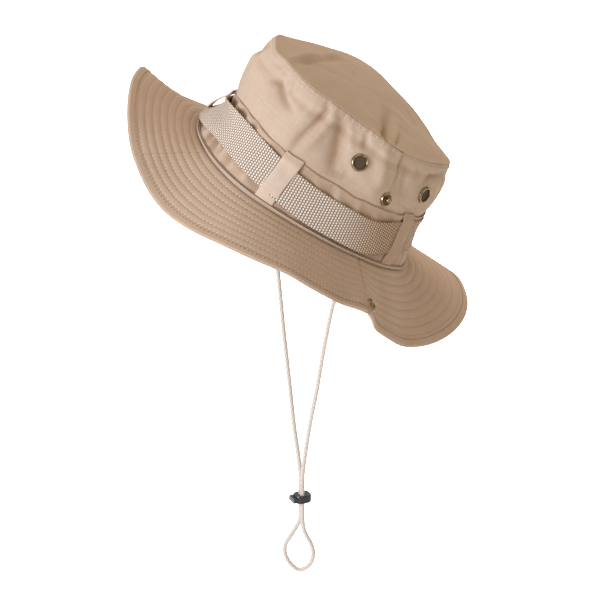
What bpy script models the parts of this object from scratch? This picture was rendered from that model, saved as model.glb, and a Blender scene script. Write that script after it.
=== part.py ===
"""Boonie hat with a webbing band, snap-up brim sides, crown vents and a chin cord with a cord lock.

Metres, +Z up. The hat leans as it hangs on display, so that its chin cord falls straight down.
The hat's own pieces are shaped in an upright frame (front at -Y, wearer's left at +X, crown up +Z)
whose origin is the centre of the head opening, and an empty named hat_lean tips them all together.
"""

import math

import bmesh
import bpy
from mathutils import Matrix, Quaternion, Vector

# Head opening, where the crown meets the brim: half sizes of an oval for a 58 cm head.
OPENING_X = 0.0835
OPENING_Y = 0.1015
OPENING_WAVE = 0.003          # the seam rises this much at the sides and drops as much at the ends
# How far the slack opening stands outside that oval, every 30 degrees from the front towards the
# wearer's left
OPENING_SLACK = (
    -0.006, 0.001, 0.0, -0.001, -0.005, -0.008, -0.002, 0.001, 0.002, 0.0, 0.0, -0.005,
)

# Crown
CROWN_HEIGHT = 0.079
TOP_X = 0.064
TOP_Y = 0.082
TOP_SHIFT = (-0.007, -0.0045)
TOP_DOME = 0.008
TOP_MIDDLE = 0.06             # the flat middle's share of the top panel
CLOTH = 0.0010
GAP = 0.0003
BAND_HEIGHT = 0.0355
SWEATBAND_HEIGHT = 0.028
ROUND_STEPS = 60

# Webbing and its loops
WEBBING_WIDTH = 0.0235
WEBBING_THICK = 0.0014
WEBBING_MIDDLE = 0.0195
WEBBING_WAVE = 0.0045         # the webbing rides this much higher at the front and back
BAND_CLOTH = 0.0008
BAND_LOW = 0.0016
STACK_GAP = 0.0005            # between one layer of cloth wound round the crown and the next
SWEATBAND_LOW = -0.0035
SWEATBAND_CLOTH = 0.0009
SEAM_TUCK = 0.0015            # the side panels reach this far below the seam
PANEL_EDGE_DEG = 0.12         # half the space between the two side panels, at their seams
WELT_RADIUS = 0.0012
WELT_OUT = 0.0027
LOOP_TURNS = (42.0, 110.0, 180.0, 250.0, 318.0)
LOOP_WIDTH_DEG = 8.5
LOOP_CLOTH = 0.0009
LOOP_LOW = 0.0022
LOOP_HEIGHT = 0.0343

# Brim: its width every 30 degrees, and its droop below the opening's plane every 10 degrees, from the
# front towards the wearer's left
BRIM_WIDTHS = (
    0.055, 0.054, 0.050, 0.046, 0.056, 0.063, 0.059, 0.056, 0.055, 0.055, 0.057, 0.058,
)
BRIM_DROOP_DEG = (
    26, 36, 39, 37, 30, 24, 21, 22, 24, 22, 36, 38, 37, 28, 14, 3, -3, -4,
    0, 6, 11, 18, 23, 25, 25, 24, 22, 19, 17, 16, 11, 3, -5, -2, 3, 13,
)
BRIM_ROOT_OUT = 0.0010
BRIM_ROOT_Z = -0.0032
BRIM_LAYER = 0.0010
BRIM_CORE = 0.0004            # half the space between the brim's two layers
FOLD_X = 0.0925               # the brim's sides fold up along a line this far out
FOLD_Z = {"left": -0.0003, "right": 0.0030}
FOLD_GAP = 0.0005

# Metal
VENT_TURNS = {"left_front": 70.0, "left_rear": 116.0, "right_rear": 244.0, "right_front": 290.0}
VENT_HEIGHT = 0.0563
VENT_RADIUS = 0.0061
VENT_HOLE = 0.0040
STUD_HEIGHT = 0.0434
STUD_RADIUS = 0.0050
STUD_NECK = 0.0014
STUD_KNOB = 0.0019
SOCKET_REACH = 0.80           # share of the brim's width
SOCKET_TURNS = {"left": 92.5, "right": 267.5}
SOCKET_RADIUS = 0.0050
SOCKET_MOUTH = 0.0024
SOCKET_RISE = 0.0018
POST_RADIUS = 0.0016
POST_RISE = 0.0010
CAP_RADIUS = 0.0054
CAP_DROP = 0.0018
BACKING = 0.0005              # how thick the washers inside the crown are
BARREL_END = -0.0014          # how far in the barrels of the crown's hardware reach
DRILL = 0.01                  # half the length of every drilled hole's cutter
SIDES = {"left": 90.0, "right": 270.0}

# Display lean
LEAN_DEG = 36.5
LEAN_TOWARD_DEG = 58.9

# Chin cord and its lock
CORD_RADIUS = 0.0017
CORD_LEAD = 0.007             # the cord leaves each tab straight for this far
ANCHOR_X = 0.0780
ANCHOR_SIZE = (0.0024, 0.0090, 0.0120)
ANCHOR_HANG_DEG = 32.3        # the sewn tabs hang straight down while the hat leans
STRAND = 0.00178              # half the distance between the two strands in the lock
LOCK_Z = -0.244
LOOP_TWIST_DEG = 64.0

# The chin cord's way, from the right anchor through the lock, round the loop and back up to the left:
# distance across from the lock's middle line, twist about that line in degrees, and height.
CORD_ROUTE = (
    (-0.0560, 0, -0.026),
    (-0.0430, 0, -0.075),
    (-0.0335, 0, -0.118),
    (-0.0240, 0, -0.155),
    (-0.0150, 0, -0.190),
    (-0.0060, 0, -0.212),
    (-STRAND, 0, -0.226),
    (-STRAND, 0, -0.244),
    (-STRAND, 0, -0.261),
    (-0.0042, 40, -0.2695),
    (-0.0085, LOOP_TWIST_DEG, -0.2770),
    (-0.0122, LOOP_TWIST_DEG, -0.2835),
    (-0.0128, LOOP_TWIST_DEG, -0.2905),
    (-0.0105, LOOP_TWIST_DEG, -0.2975),
    (-0.0060, LOOP_TWIST_DEG, -0.3035),
    (-0.0010, LOOP_TWIST_DEG, -0.3060),
    (0.0050, LOOP_TWIST_DEG, -0.3030),
    (0.0085, LOOP_TWIST_DEG, -0.2965),
    (0.0090, LOOP_TWIST_DEG, -0.2895),
    (0.0072, LOOP_TWIST_DEG, -0.2830),
    (0.0042, LOOP_TWIST_DEG, -0.2770),
    (0.0022, 30, -0.2700),
    (STRAND, 0, -0.261),
    (STRAND, 0, -0.244),
    (STRAND, 0, -0.226),
    (0.0080, 0, -0.204),
    (0.0180, 0, -0.176),
    (0.0270, 0, -0.145),
    (0.0360, 0, -0.110),
    (0.0490, 0, -0.072),
    (0.0630, 0, -0.046),
)
CORD_POINTS = 79
CURVE_STEPS = 20              # steps between two points of the route while it is smoothed


# ---------------------------------------------------------------- the hat's surfaces

def between(a, b, c, d, f):
    """A smooth curve's point a share f of the way from b to c, with a and d as its neighbours."""
    cubic = 3 * (b - c) + d - a
    square = 2 * a - 5 * b + 4 * c - d
    return b + 0.5 * f * (c - a + f * (square + f * cubic))


def around(values, turn_deg):
    """A smooth periodic curve through values spaced evenly round the hat."""
    count = len(values)
    place = (turn_deg % 360.0) / 360.0 * count
    i = int(place)
    f = place - i
    return between(*(values[(i + k) % count] for k in (-1, 0, 1, 2)), f)


def outward(turn_deg):
    """The opening oval's level outward direction at a turn, 0 being the front."""
    t = math.radians(turn_deg)
    return Vector((math.sin(t) / OPENING_X, -math.cos(t) / OPENING_Y, 0)).normalized()


def seam_point(turn_deg):
    t = math.radians(turn_deg)
    x = OPENING_X * math.sin(t)
    y = -OPENING_Y * math.cos(t)
    oval = Vector((x, y, -OPENING_WAVE * math.cos(2 * t)))
    return oval + outward(turn_deg) * around(OPENING_SLACK, turn_deg)


def wall_point(turn_deg, height, out=0.0):
    """A point of the crown's side wall, out metres outside its inner face."""
    t = math.radians(turn_deg)
    x = TOP_X * math.sin(t) + TOP_SHIFT[0]
    y = -TOP_Y * math.cos(t) + TOP_SHIFT[1]
    top = Vector((x, y, CROWN_HEIGHT))
    return seam_point(turn_deg).lerp(top, height / CROWN_HEIGHT) + outward(turn_deg) * out


def brim_point(turn_deg, reach, lift=0.0):
    """A point of the brim: reach is 0 at the seam and 1 at the edge, lift is above the middle layer."""
    droop = math.radians(around(BRIM_DROOP_DEG, turn_deg))
    level = outward(turn_deg)
    along = level * math.cos(droop) - Vector((0, 0, math.sin(droop)))
    up = level * math.sin(droop) + Vector((0, 0, math.cos(droop)))
    root = seam_point(turn_deg) + level * BRIM_ROOT_OUT + Vector((0, 0, BRIM_ROOT_Z))
    return root + along * around(BRIM_WIDTHS, turn_deg) * reach + up * lift


# ---------------------------------------------------------------- building helpers

def clear_scene():
    for obj in list(bpy.data.objects):
        bpy.data.objects.remove(obj, do_unlink=True)


def new_collection(name):
    made = bpy.data.collections.new(name)
    bpy.context.scene.collection.children.link(made)
    return made


def make_material(name, colour, roughness, metallic=0.0):
    material = bpy.data.materials.new(name)
    material.use_nodes = True
    shader = material.node_tree.nodes["Principled BSDF"]
    shader.inputs["Base Color"].default_value = (*colour, 1.0)
    shader.inputs["Roughness"].default_value = roughness
    shader.inputs["Metallic"].default_value = metallic
    return material


def add_object(name, data, material, parent, collection=None):
    obj = bpy.data.objects.new(name, data)
    (collection or HAT).objects.link(obj)
    if material:
        data.materials.append(material)
    obj.parent = parent
    return obj


def add_empty(name, parent=None, location=(0, 0, 0)):
    obj = add_object(name, None, None, parent)
    obj.empty_display_size = 0.02
    obj.location = location
    return obj


def mesh_from(bm, name, smooth_deg=35.0):
    mesh = bpy.data.meshes.new(name)
    bm.to_mesh(mesh)
    bm.free()
    mesh.shade_smooth()
    mesh.set_sharp_from_angle(angle=math.radians(smooth_deg))
    return mesh


def sheet_mesh(name, columns, rows, place, closed=False):
    """A grid of cloth: place(u, v) puts each of its points, u and v from 0 to 1."""
    bm = bmesh.new()
    bmesh.ops.create_grid(bm, x_segments=columns, y_segments=rows, size=0.5)
    for vert in bm.verts:
        vert.co = place(vert.co.x + 0.5, vert.co.y + 0.5)
    if closed:
        bmesh.ops.remove_doubles(bm, verts=bm.verts, dist=0.00001)
    return mesh_from(bm, name)


def thicken(obj, thickness, side):
    """Gives a cloth its thickness, on the side its faces point to (1) or on the other (-1)."""
    solidify = obj.modifiers.new("thickness", "SOLIDIFY")
    solidify.thickness = thickness
    solidify.offset = side
    solidify.use_even_offset = True


def cut(obj, cutter, operation="DIFFERENCE"):
    boolean = obj.modifiers.new("cut", "BOOLEAN")
    boolean.operation = operation
    boolean.object = cutter
    boolean.solver = "EXACT"


def make_cutter(name, mesh, parent, matrix=None):
    cutter = add_object(name, mesh, None, parent, CUTTERS)
    cutter.hide_render = True
    cutter.display_type = "WIRE"
    if matrix:
        cutter.matrix_local = matrix
    return cutter


def box_mesh(name, low, high, bevel=0.0):
    bm = bmesh.new()
    bmesh.ops.create_cube(bm, size=1.0)
    low, high = Vector(low), Vector(high)
    for vert in bm.verts:
        vert.co = Vector(((vert.co[i] + 0.5) * (high[i] - low[i]) + low[i] for i in range(3)))
    if bevel:
        bmesh.ops.bevel(bm, geom=bm.edges[:], offset=bevel, segments=2, profile=0.5, affect="EDGES")
    return mesh_from(bm, name)


def cylinder_mesh(name, radius, low, high, steps=20):
    bm = bmesh.new()
    bmesh.ops.create_cone(
        bm, cap_ends=True, segments=steps, radius1=radius, radius2=radius, depth=high - low,
        matrix=Matrix.Translation((0, 0, (low + high) / 2)),
    )
    return mesh_from(bm, name)


def turned(name, profile, material, parent, steps=16):
    """A turned piece about local Z: the profile's (radius, height) points run down its outer side."""
    mesh = bpy.data.meshes.new(name)
    points = [(radius, 0, height) for radius, height in profile]
    closed = profile[0][0] > 0
    edges = [(i, i + 1) for i in range(len(points) - 1)]
    if closed:
        edges.append((len(points) - 1, 0))
    mesh.from_pydata(points, edges, [])
    obj = add_object(name, mesh, material, parent)
    screw = obj.modifiers.new("turn", "SCREW")
    screw.angle = math.tau
    screw.steps = steps
    screw.render_steps = steps
    screw.use_merge_vertices = True
    screw.merge_threshold = 0.00001
    screw.use_smooth_shade = True
    return obj


def facing(origin, normal):
    """A frame at origin whose Z points along normal."""
    turn = Vector(normal).normalized().to_track_quat("Z", "Y")
    return Matrix.Translation(origin) @ turn.to_matrix().to_4x4()


# ---------------------------------------------------------------- crown

def make_crown_top(material):
    """The domed top panel: rings of points drawn in towards a small flat middle."""
    def place(u, v):
        reach = 1.0 - v * (1.0 - TOP_MIDDLE)
        edge = wall_point(u * 360.0, CROWN_HEIGHT, CLOTH)
        middle = Vector((TOP_SHIFT[0], TOP_SHIFT[1], CROWN_HEIGHT))
        point = middle.lerp(edge, reach)
        point.z = CROWN_HEIGHT + 3 * GAP + TOP_DOME * (1 - reach ** 2)
        return point

    mesh = sheet_mesh("crown_top_panel", ROUND_STEPS, 2, place, closed=True)
    bm = bmesh.new()
    bm.from_mesh(mesh)
    half_way = CROWN_HEIGHT + TOP_DOME / 2
    inner = [e for e in bm.edges if e.is_boundary and e.verts[0].co.z > half_way]
    bmesh.ops.holes_fill(bm, edges=inner, sides=0)
    bm.to_mesh(mesh)
    bm.free()
    obj = add_object("crown_top_panel", mesh, material, LEAN)
    thicken(obj, CLOTH, 1)


def make_crown_side(name, start_deg, end_deg, material):
    def place(u, v):
        turn = start_deg + (end_deg - start_deg) * u
        return wall_point(turn, -SEAM_TUCK + (CROWN_HEIGHT + SEAM_TUCK) * v)

    mesh = sheet_mesh(name, ROUND_STEPS // 2, 3, place)
    obj = add_object(name, mesh, material, LEAN)
    thicken(obj, CLOTH, 1)
    return obj


def wall_ring(name, low, high, out, thick, material, rows=1):
    """A closed band round the crown; low and high give its edges' heights at a turn."""
    def place(u, v):
        turn = u * 360.0
        return wall_point(turn, low(turn) * (1 - v) + high(turn) * v, out)

    mesh = sheet_mesh(name, ROUND_STEPS, rows, place, closed=True)
    obj = add_object(name, mesh, material, LEAN)
    thicken(obj, thick, 1)
    return obj


def webbing_middle(turn_deg):
    return WEBBING_MIDDLE + WEBBING_WAVE * math.cos(2 * math.radians(turn_deg))


def make_belt_loop(index, turn_deg, out, material):
    def place(u, v):
        turn = turn_deg + (u - 0.5) * LOOP_WIDTH_DEG
        return wall_point(turn, LOOP_LOW + LOOP_HEIGHT * v, out)

    name = f"belt_loop_{index + 1}"
    obj = add_object(name, sheet_mesh(name, 2, 1, place), material, LEAN)
    thicken(obj, LOOP_CLOTH, 1)


def tube_along(name, points, radius, material, parent, closed=False, sides=2):
    curve = bpy.data.curves.new(name, "CURVE")
    curve.dimensions = "3D"
    curve.bevel_depth = radius
    curve.bevel_resolution = sides
    curve.use_fill_caps = True
    spline = curve.splines.new("POLY")
    spline.points.add(len(points) - 1)
    for slot, point in zip(spline.points, points):
        slot.co = (*point, 1.0)
    spline.use_cyclic_u = closed
    return add_object(name, curve, material, parent)


def make_base_welt(material):
    points = [wall_point(k * 360.0 / ROUND_STEPS, 0.0, WELT_OUT) for k in range(ROUND_STEPS)]
    tube_along("base_welt", points, WELT_RADIUS, material, LEAN, closed=True, sides=1)


def make_crown(cloth, lining, webbing, thread):
    make_crown_top(cloth)
    edge = PANEL_EDGE_DEG
    front = make_crown_side("crown_side_front", -90 + edge, 90 - edge, cloth)
    rear = make_crown_side("crown_side_rear", 90 + edge, 270 - edge, cloth)
    band_out = CLOTH + GAP
    wall_ring("lower_band", lambda t: BAND_LOW, lambda t: BAND_HEIGHT, band_out, BAND_CLOTH, cloth)
    web_out = band_out + BAND_CLOTH + STACK_GAP
    half = WEBBING_WIDTH / 2
    wall_ring(
        "webbing_band", lambda t: webbing_middle(t) - half, lambda t: webbing_middle(t) + half,
        web_out, WEBBING_THICK, webbing,
    )
    for index, turn in enumerate(LOOP_TURNS):
        make_belt_loop(index, turn, web_out + WEBBING_THICK + STACK_GAP, cloth)
    make_base_welt(thread)
    wall_ring(
        "sweatband", lambda t: SWEATBAND_LOW, lambda t: SWEATBAND_HEIGHT,
        -GAP - SWEATBAND_CLOTH, SWEATBAND_CLOTH, lining,
    )
    return front, rear


# ---------------------------------------------------------------- brim

def brim_layer(name, lift, side, material, parent, offset):
    def place(u, v):
        return brim_point(-u * 360.0, v, lift) - Vector(offset)

    obj = add_object(name, sheet_mesh(name, 72, 4, place, closed=True), material, parent)
    thicken(obj, BRIM_LAYER, side)
    return obj


def side_box(name, sign, start, parent, offset):
    """A box over the whole brim beyond x = start on one side."""
    far = 0.3
    xs = sorted((sign * start, sign * far))
    low = Vector((xs[0], -far, -far)) - Vector(offset)
    high = Vector((xs[1], far, far)) - Vector(offset)
    return make_cutter(name, box_mesh(name, low, high), parent)


def make_brim(upper_cloth, under_cloth):
    pieces = {"centre": (LEAN, (0, 0, 0))}
    for side in SIDES:
        pieces[side] = (FOLDS[side], tuple(FOLDS[side].location))
    for place, (parent, offset) in pieces.items():
        layers = (
            brim_layer(f"brim_upper_{place}", BRIM_CORE, 1, upper_cloth, parent, offset),
            brim_layer(f"brim_lower_{place}", -BRIM_CORE, -1, under_cloth, parent, offset),
        )
        for layer in layers:
            if place == "centre":
                cut(layer, side_box("left_side", 1, FOLD_X - FOLD_GAP, parent, offset))
                cut(layer, side_box("right_side", -1, FOLD_X - FOLD_GAP, parent, offset))
            else:
                sign = 1 if place == "left" else -1
                keep = side_box(f"{place}_fold", sign, FOLD_X + FOLD_GAP, parent, offset)
                cut(layer, keep, "INTERSECT")


def brim_normal(turn_deg, reach):
    step = 0.01
    along = brim_point(turn_deg, reach + step) - brim_point(turn_deg, reach - step)
    across = brim_point(turn_deg + 1, reach) - brim_point(turn_deg - 1, reach)
    return along.cross(across).normalized()


def make_snap_sockets(brass):
    """A socket on the brim's upper side and a cap with its post through both layers, each side."""
    top = BRIM_CORE + BRIM_LAYER + 3 * GAP
    rim = top + SOCKET_RISE
    ring = [
        (SOCKET_MOUTH, rim), (SOCKET_RADIUS - GAP * 2, rim), (SOCKET_RADIUS, top), (SOCKET_MOUTH, top),
    ]
    cap = [
        (0.0, top + POST_RISE), (POST_RADIUS, top + POST_RISE), (POST_RADIUS, -top),
        (CAP_RADIUS, -top), (CAP_RADIUS * 0.9, -top - CAP_DROP * 0.7), (0.0, -top - CAP_DROP),
    ]
    for side, turn in SOCKET_TURNS.items():
        home = FOLDS[side].location
        frame = facing(brim_point(turn, SOCKET_REACH) - home, brim_normal(turn, SOCKET_REACH))
        for name, profile in (("snap_socket", ring), ("snap_cap", cap)):
            turned(f"{name}_{side}", profile, brass, FOLDS[side]).matrix_local = frame
        drill = cylinder_mesh("socket_hole", POST_RADIUS + GAP, -DRILL, DRILL)
        hole = make_cutter(f"socket_hole_{side}", drill, FOLDS[side], frame)
        for layer in ("upper", "lower"):
            cut(bpy.data.objects[f"brim_{layer}_{side}"], hole)


# ---------------------------------------------------------------- vents and studs

def wall_frame(turn_deg, height):
    """A frame on the wall's inner face whose Z points out of the crown."""
    up = wall_point(turn_deg, height + 0.005) - wall_point(turn_deg, height - 0.005)
    across = wall_point(turn_deg + 1, height) - wall_point(turn_deg - 1, height)
    return facing(wall_point(turn_deg, height), across.cross(up))


def backing_ring(inner, outer):
    """The profile of a thin washer lying just inside the wall."""
    near = -GAP - 0.0001
    return [(inner, near), (outer, near), (outer, near - BACKING), (inner, near - BACKING)]


def make_vents(panels, brass, dark):
    outer, barrel = VENT_RADIUS, VENT_HOLE
    for name, turn in VENT_TURNS.items():
        frame = wall_frame(turn, VENT_HEIGHT)
        face = CLOTH + STACK_GAP
        eyelet = [
            (barrel, face + 0.0012), (outer - 0.0006, face + 0.0012), (outer, face),
            (barrel + 0.0005, face), (barrel + 0.0005, BARREL_END), (barrel, BARREL_END),
        ]
        washer = backing_ring(barrel + 0.0008, outer + 0.0006)
        mesh = [(0.0, face), (barrel - GAP, face), (barrel - GAP, face - 0.0006), (0.0, face - 0.0006)]
        parts = (
            turned(f"vent_eyelet_{name}", eyelet, brass, LEAN, 20),
            turned(f"vent_washer_{name}", washer, brass, LEAN, 20),
            turned(f"vent_mesh_{name}", mesh, dark, LEAN, 20),
        )
        for obj in parts:
            obj.matrix_local = frame
        drill = cylinder_mesh("vent_hole", barrel + 3 * GAP, -DRILL, DRILL)
        hole = make_cutter(f"vent_hole_{name}", drill, LEAN, frame)
        cut(panels[0] if abs((turn + 180) % 360 - 180) < 90 else panels[1], hole)


def make_snap_studs(panels, brass):
    for side, turn in SIDES.items():
        frame = wall_frame(turn, STUD_HEIGHT)
        face = CLOTH + STACK_GAP
        pin = STUD_NECK - 0.0001
        stud = [
            (0.0, face + 0.0040), (pin, face + 0.0038), (STUD_KNOB, face + 0.0030),
            (STUD_NECK, face + 0.0020), (STUD_NECK, face + 0.0008),
            (STUD_RADIUS - 0.0006, face + 0.0010), (STUD_RADIUS, face),
            (pin, face), (pin, BARREL_END), (0.0, BARREL_END),
        ]
        parts = (
            turned(f"snap_stud_{side}", stud, brass, LEAN),
            turned(f"stud_backing_{side}", backing_ring(pin + GAP, STUD_RADIUS), brass, LEAN),
        )
        for obj in parts:
            obj.matrix_local = frame
        drill = cylinder_mesh("stud_hole", pin + GAP + 0.0001, -DRILL, DRILL)
        hole = make_cutter(f"stud_hole_{side}", drill, LEAN, frame)
        for panel in panels:
            cut(panel, hole)


# ---------------------------------------------------------------- chin cord

def anchor_start(side):
    """Where the cord leaves its sewn tab, and the way it leaves, in the hat's own frame."""
    sign = 1 if side == "left" else -1
    hang = math.radians(ANCHOR_HANG_DEG)
    way = Vector((0, math.sin(hang), -math.cos(hang)))
    return Vector((sign * ANCHOR_X, 0, -0.0060)), way


def make_anchors(material):
    for side in SIDES:
        start, way = anchor_start(side)
        half = Vector(ANCHOR_SIZE) / 2
        bm_mesh = box_mesh(f"cord_anchor_{side}", -half, half, bevel=0.0004)
        tab = add_object(f"cord_anchor_{side}", bm_mesh, material, LEAN)
        hang = Matrix.Rotation(math.radians(ANCHOR_HANG_DEG), 4, "X")
        tab.matrix_local = Matrix.Translation(start - way * (half.z + CORD_RADIUS + GAP)) @ hang


def smooth_path(route, count):
    """count points, evenly spaced, along a smooth curve through the route's points."""
    extended = [route[0] * 2 - route[1], *route, route[-1] * 2 - route[-2]]
    fine = []
    for i in range(len(route) - 1):
        fine += [between(*extended[i:i + 4], k / CURVE_STEPS) for k in range(CURVE_STEPS)]
    fine.append(route[-1])
    travelled = [0.0]
    for a, b in zip(fine, fine[1:]):
        travelled.append(travelled[-1] + (b - a).length)
    even, i = [], 0
    for k in range(count):
        want = travelled[-1] * k / (count - 1)
        while i < len(fine) - 2 and travelled[i + 1] < want:
            i += 1
        part = (want - travelled[i]) / (travelled[i + 1] - travelled[i])
        even.append(fine[i].lerp(fine[i + 1], part))
    return even


def cord_route(lean):
    """The cord's way in the row's frame, and the lock's middle line and the direction across it."""
    ends = {}
    for side in SIDES:
        start, way = anchor_start(side)
        ends[side] = (lean @ start, lean @ (start + way * CORD_LEAD))
    across = ends["left"][0] - ends["right"][0]
    across.z = 0
    across.normalize()
    middle = (ends["left"][0] + ends["right"][0]) / 2
    middle.z = 0
    route = [*ends["right"]]
    for reach, twist, z in CORD_ROUTE:
        turned_across = Matrix.Rotation(math.radians(twist), 3, "Z") @ across
        route.append(middle + turned_across * reach + Vector((0, 0, z)))
    route += [ends["left"][1], ends["left"][0]]
    return route, middle, across


def make_chin_cord(material, lean):
    route, middle, across = cord_route(lean)
    swing = add_empty("chin_cord_swing", location=route[-1])
    points = [p - swing.location for p in smooth_path(route, CORD_POINTS)]
    tube_along("chin_cord", points, CORD_RADIUS, material, swing)
    return swing, middle, across


def stadium_mesh(name, radius, stretch, low, high):
    """An upright prism with round ends, stretched along its Y."""
    bm = bmesh.new()
    bmesh.ops.create_cone(
        bm, cap_ends=True, segments=16, radius1=radius, radius2=radius, depth=high - low,
        matrix=Matrix.Rotation(math.tau / 32, 4, "Z"),
    )
    for vert in bm.verts:
        vert.co.y += math.copysign(stretch, vert.co.y)
        vert.co.z += (low + high) / 2
    return mesh_from(bm, name)


def make_lock(plastic, steel, swing, middle, across):
    """A sprung cord lock: its X is the way the button is pressed, its Y lies across both strands."""
    slide = add_empty("cord_lock_slide", swing)
    slide.location = middle + Vector((0, 0, LOCK_Z)) - swing.location
    slide.rotation_mode = "QUATERNION"
    slide.rotation_quaternion = Quaternion((0, 0, 1), math.atan2(across.y, across.x) + math.pi / 2)

    body = box_mesh("cord_lock_barrel", (-0.0058, -0.0058, -0.0030), (0.0072, 0.0058, 0.0030))
    barrel = add_object("cord_lock_barrel", body, plastic, slide)
    round_upright_edges(body, 0.0042)
    cord_hole = stadium_mesh("cord_hole", 0.00205, 0.00175, -0.01, 0.01)
    cut(barrel, make_cutter("cord_hole", cord_hole, slide))
    pocket = box_mesh("button_pocket", (-0.02, -0.00465, -0.00200), (0.0051, 0.00465, 0.00200))
    cut(barrel, make_cutter("button_pocket", pocket, slide))
    bore_mesh = cylinder_mesh("spring_bore", 0.0018, 0.0040, 0.0063, 16)
    sideways = Matrix.Rotation(math.pi / 2, 4, "Y")
    cut(barrel, make_cutter("spring_bore", bore_mesh, slide, sideways))

    press = add_empty("cord_lock_press", slide)
    button = box_mesh("cord_lock_plunger", (-0.0084, -0.00440, -0.00172), (0.00285, 0.00440, 0.00172))
    plunger = add_object("cord_lock_plunger", button, plastic, press)
    slot = box_mesh("plunger_slot", (-0.00400, -0.00375, -0.01), (0.00198, 0.00375, 0.01))
    cut(plunger, make_cutter("plunger_slot", slot, press))

    coils, steps, start, length = 3, 12, 0.00325, 0.0026
    helix = []
    for k in range(coils * steps + 1):
        turn = math.tau * k / steps
        along = start + length * k / (coils * steps)
        helix.append(Vector((along, 0.0012 * math.cos(turn), 0.0012 * math.sin(turn))))
    tube_along("cord_lock_spring", helix, 0.00022, steel, slide, sides=1)


def round_upright_edges(mesh, radius):
    """Rounds a block's four upright corners, then its rims."""
    bm = bmesh.new()
    bm.from_mesh(mesh)
    upright = [e for e in bm.edges if abs(e.verts[0].co.z - e.verts[1].co.z) > 0.001]
    bmesh.ops.bevel(bm, geom=upright, offset=radius, segments=6, profile=0.5, affect="EDGES")
    rims = [e for e in bm.edges if abs(abs(e.verts[0].co.z) - abs(e.verts[1].co.z)) < 1e-6
            and abs(e.verts[0].co.z - e.verts[1].co.z) < 1e-6]
    bmesh.ops.bevel(bm, geom=rims, offset=0.0007, segments=2, profile=0.5, affect="EDGES")
    bm.to_mesh(mesh)
    bm.free()


# ---------------------------------------------------------------- the hat

clear_scene()
HAT = new_collection("boonie_hat")
CUTTERS = new_collection("cutters")

LEAN = add_empty("hat_lean")
LEAN.rotation_mode = "QUATERNION"
lean_axis = (-math.sin(math.radians(LEAN_TOWARD_DEG)), math.cos(math.radians(LEAN_TOWARD_DEG)), 0)
LEAN.rotation_quaternion = Quaternion(lean_axis, math.radians(LEAN_DEG))
LEAN_MATRIX = Quaternion(lean_axis, math.radians(LEAN_DEG)).to_matrix()
FOLDS = {
    "left": add_empty("brim_fold_left", LEAN, (FOLD_X, 0, FOLD_Z["left"])),
    "right": add_empty("brim_fold_right", LEAN, (-FOLD_X, 0, FOLD_Z["right"])),
}

cotton = make_material("crown_cotton", (0.52, 0.40, 0.30), 0.85)
brim_cotton = make_material("brim_cotton", (0.46, 0.34, 0.24), 0.85)
under_cotton = make_material("under_cotton", (0.44, 0.33, 0.24), 0.85)
lining_cotton = make_material("sweatband_cotton", (0.50, 0.40, 0.30), 0.80)
piping_cotton = make_material("piping_cotton", (0.40, 0.29, 0.21), 0.85)
nylon = make_material("webbing_nylon", (0.50, 0.41, 0.32), 0.60)
brass = make_material("antique_brass", (0.42, 0.31, 0.16), 0.35, 1.0)
gauze = make_material("vent_gauze", (0.10, 0.07, 0.05), 0.60, 0.6)
braid = make_material("cord_braid", (0.86, 0.78, 0.67), 0.80)
black = make_material("lock_plastic", (0.02, 0.02, 0.022), 0.25)
steel = make_material("spring_steel", (0.6, 0.6, 0.6), 0.30, 1.0)

side_panels = make_crown(cotton, lining_cotton, nylon, piping_cotton)
make_brim(brim_cotton, under_cotton)
make_snap_sockets(brass)
make_vents(side_panels, brass, gauze)
make_snap_studs(side_panels, brass)
make_anchors(lining_cotton)
cord_swing, lock_line, strands_across = make_chin_cord(braid, LEAN_MATRIX)
make_lock(black, steel, cord_swing, lock_line, strands_across)
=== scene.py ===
import math

import bmesh
import bpy
import numpy as np
from mathutils import Matrix, Quaternion, Vector


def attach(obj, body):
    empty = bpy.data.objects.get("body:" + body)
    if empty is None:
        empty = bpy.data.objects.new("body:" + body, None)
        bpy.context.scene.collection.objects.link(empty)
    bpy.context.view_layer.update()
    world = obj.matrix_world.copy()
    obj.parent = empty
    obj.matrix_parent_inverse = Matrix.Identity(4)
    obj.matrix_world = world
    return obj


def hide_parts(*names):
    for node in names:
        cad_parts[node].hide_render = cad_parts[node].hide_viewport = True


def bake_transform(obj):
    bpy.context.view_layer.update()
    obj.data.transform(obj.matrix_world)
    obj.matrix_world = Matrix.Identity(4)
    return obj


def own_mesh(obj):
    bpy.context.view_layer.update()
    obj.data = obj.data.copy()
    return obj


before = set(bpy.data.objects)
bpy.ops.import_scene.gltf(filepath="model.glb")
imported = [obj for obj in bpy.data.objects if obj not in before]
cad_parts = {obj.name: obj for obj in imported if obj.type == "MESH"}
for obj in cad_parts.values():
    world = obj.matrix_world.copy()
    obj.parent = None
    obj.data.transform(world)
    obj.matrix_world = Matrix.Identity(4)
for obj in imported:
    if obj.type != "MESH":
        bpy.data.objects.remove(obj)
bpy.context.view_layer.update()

# ---------------- the hat's sizes, as in the CAD source

MM = 0.001
OPENING_X = 0.0835
OPENING_Y = 0.1015
OPENING_WAVE = 0.003
OPENING_SLACK = (
    -0.006, 0.001, 0.0, -0.001, -0.005, -0.008, -0.002, 0.001, 0.002, 0.0, 0.0, -0.005,
)
CROWN_HEIGHT = 0.079
TOP_X = 0.064
TOP_Y = 0.082
TOP_SHIFT = (-0.007, -0.0045)
TOP_DOME = 0.008
CLOTH = 0.0010
WEBBING_WIDTH = 0.0235
WEBBING_THREADS = 13          # raised threads across the webbing
WEBBING_PITCH = 0.00208       # between them along it
LOOP_TURNS = (42.0, 110.0, 180.0, 250.0, 316.0)
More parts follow.
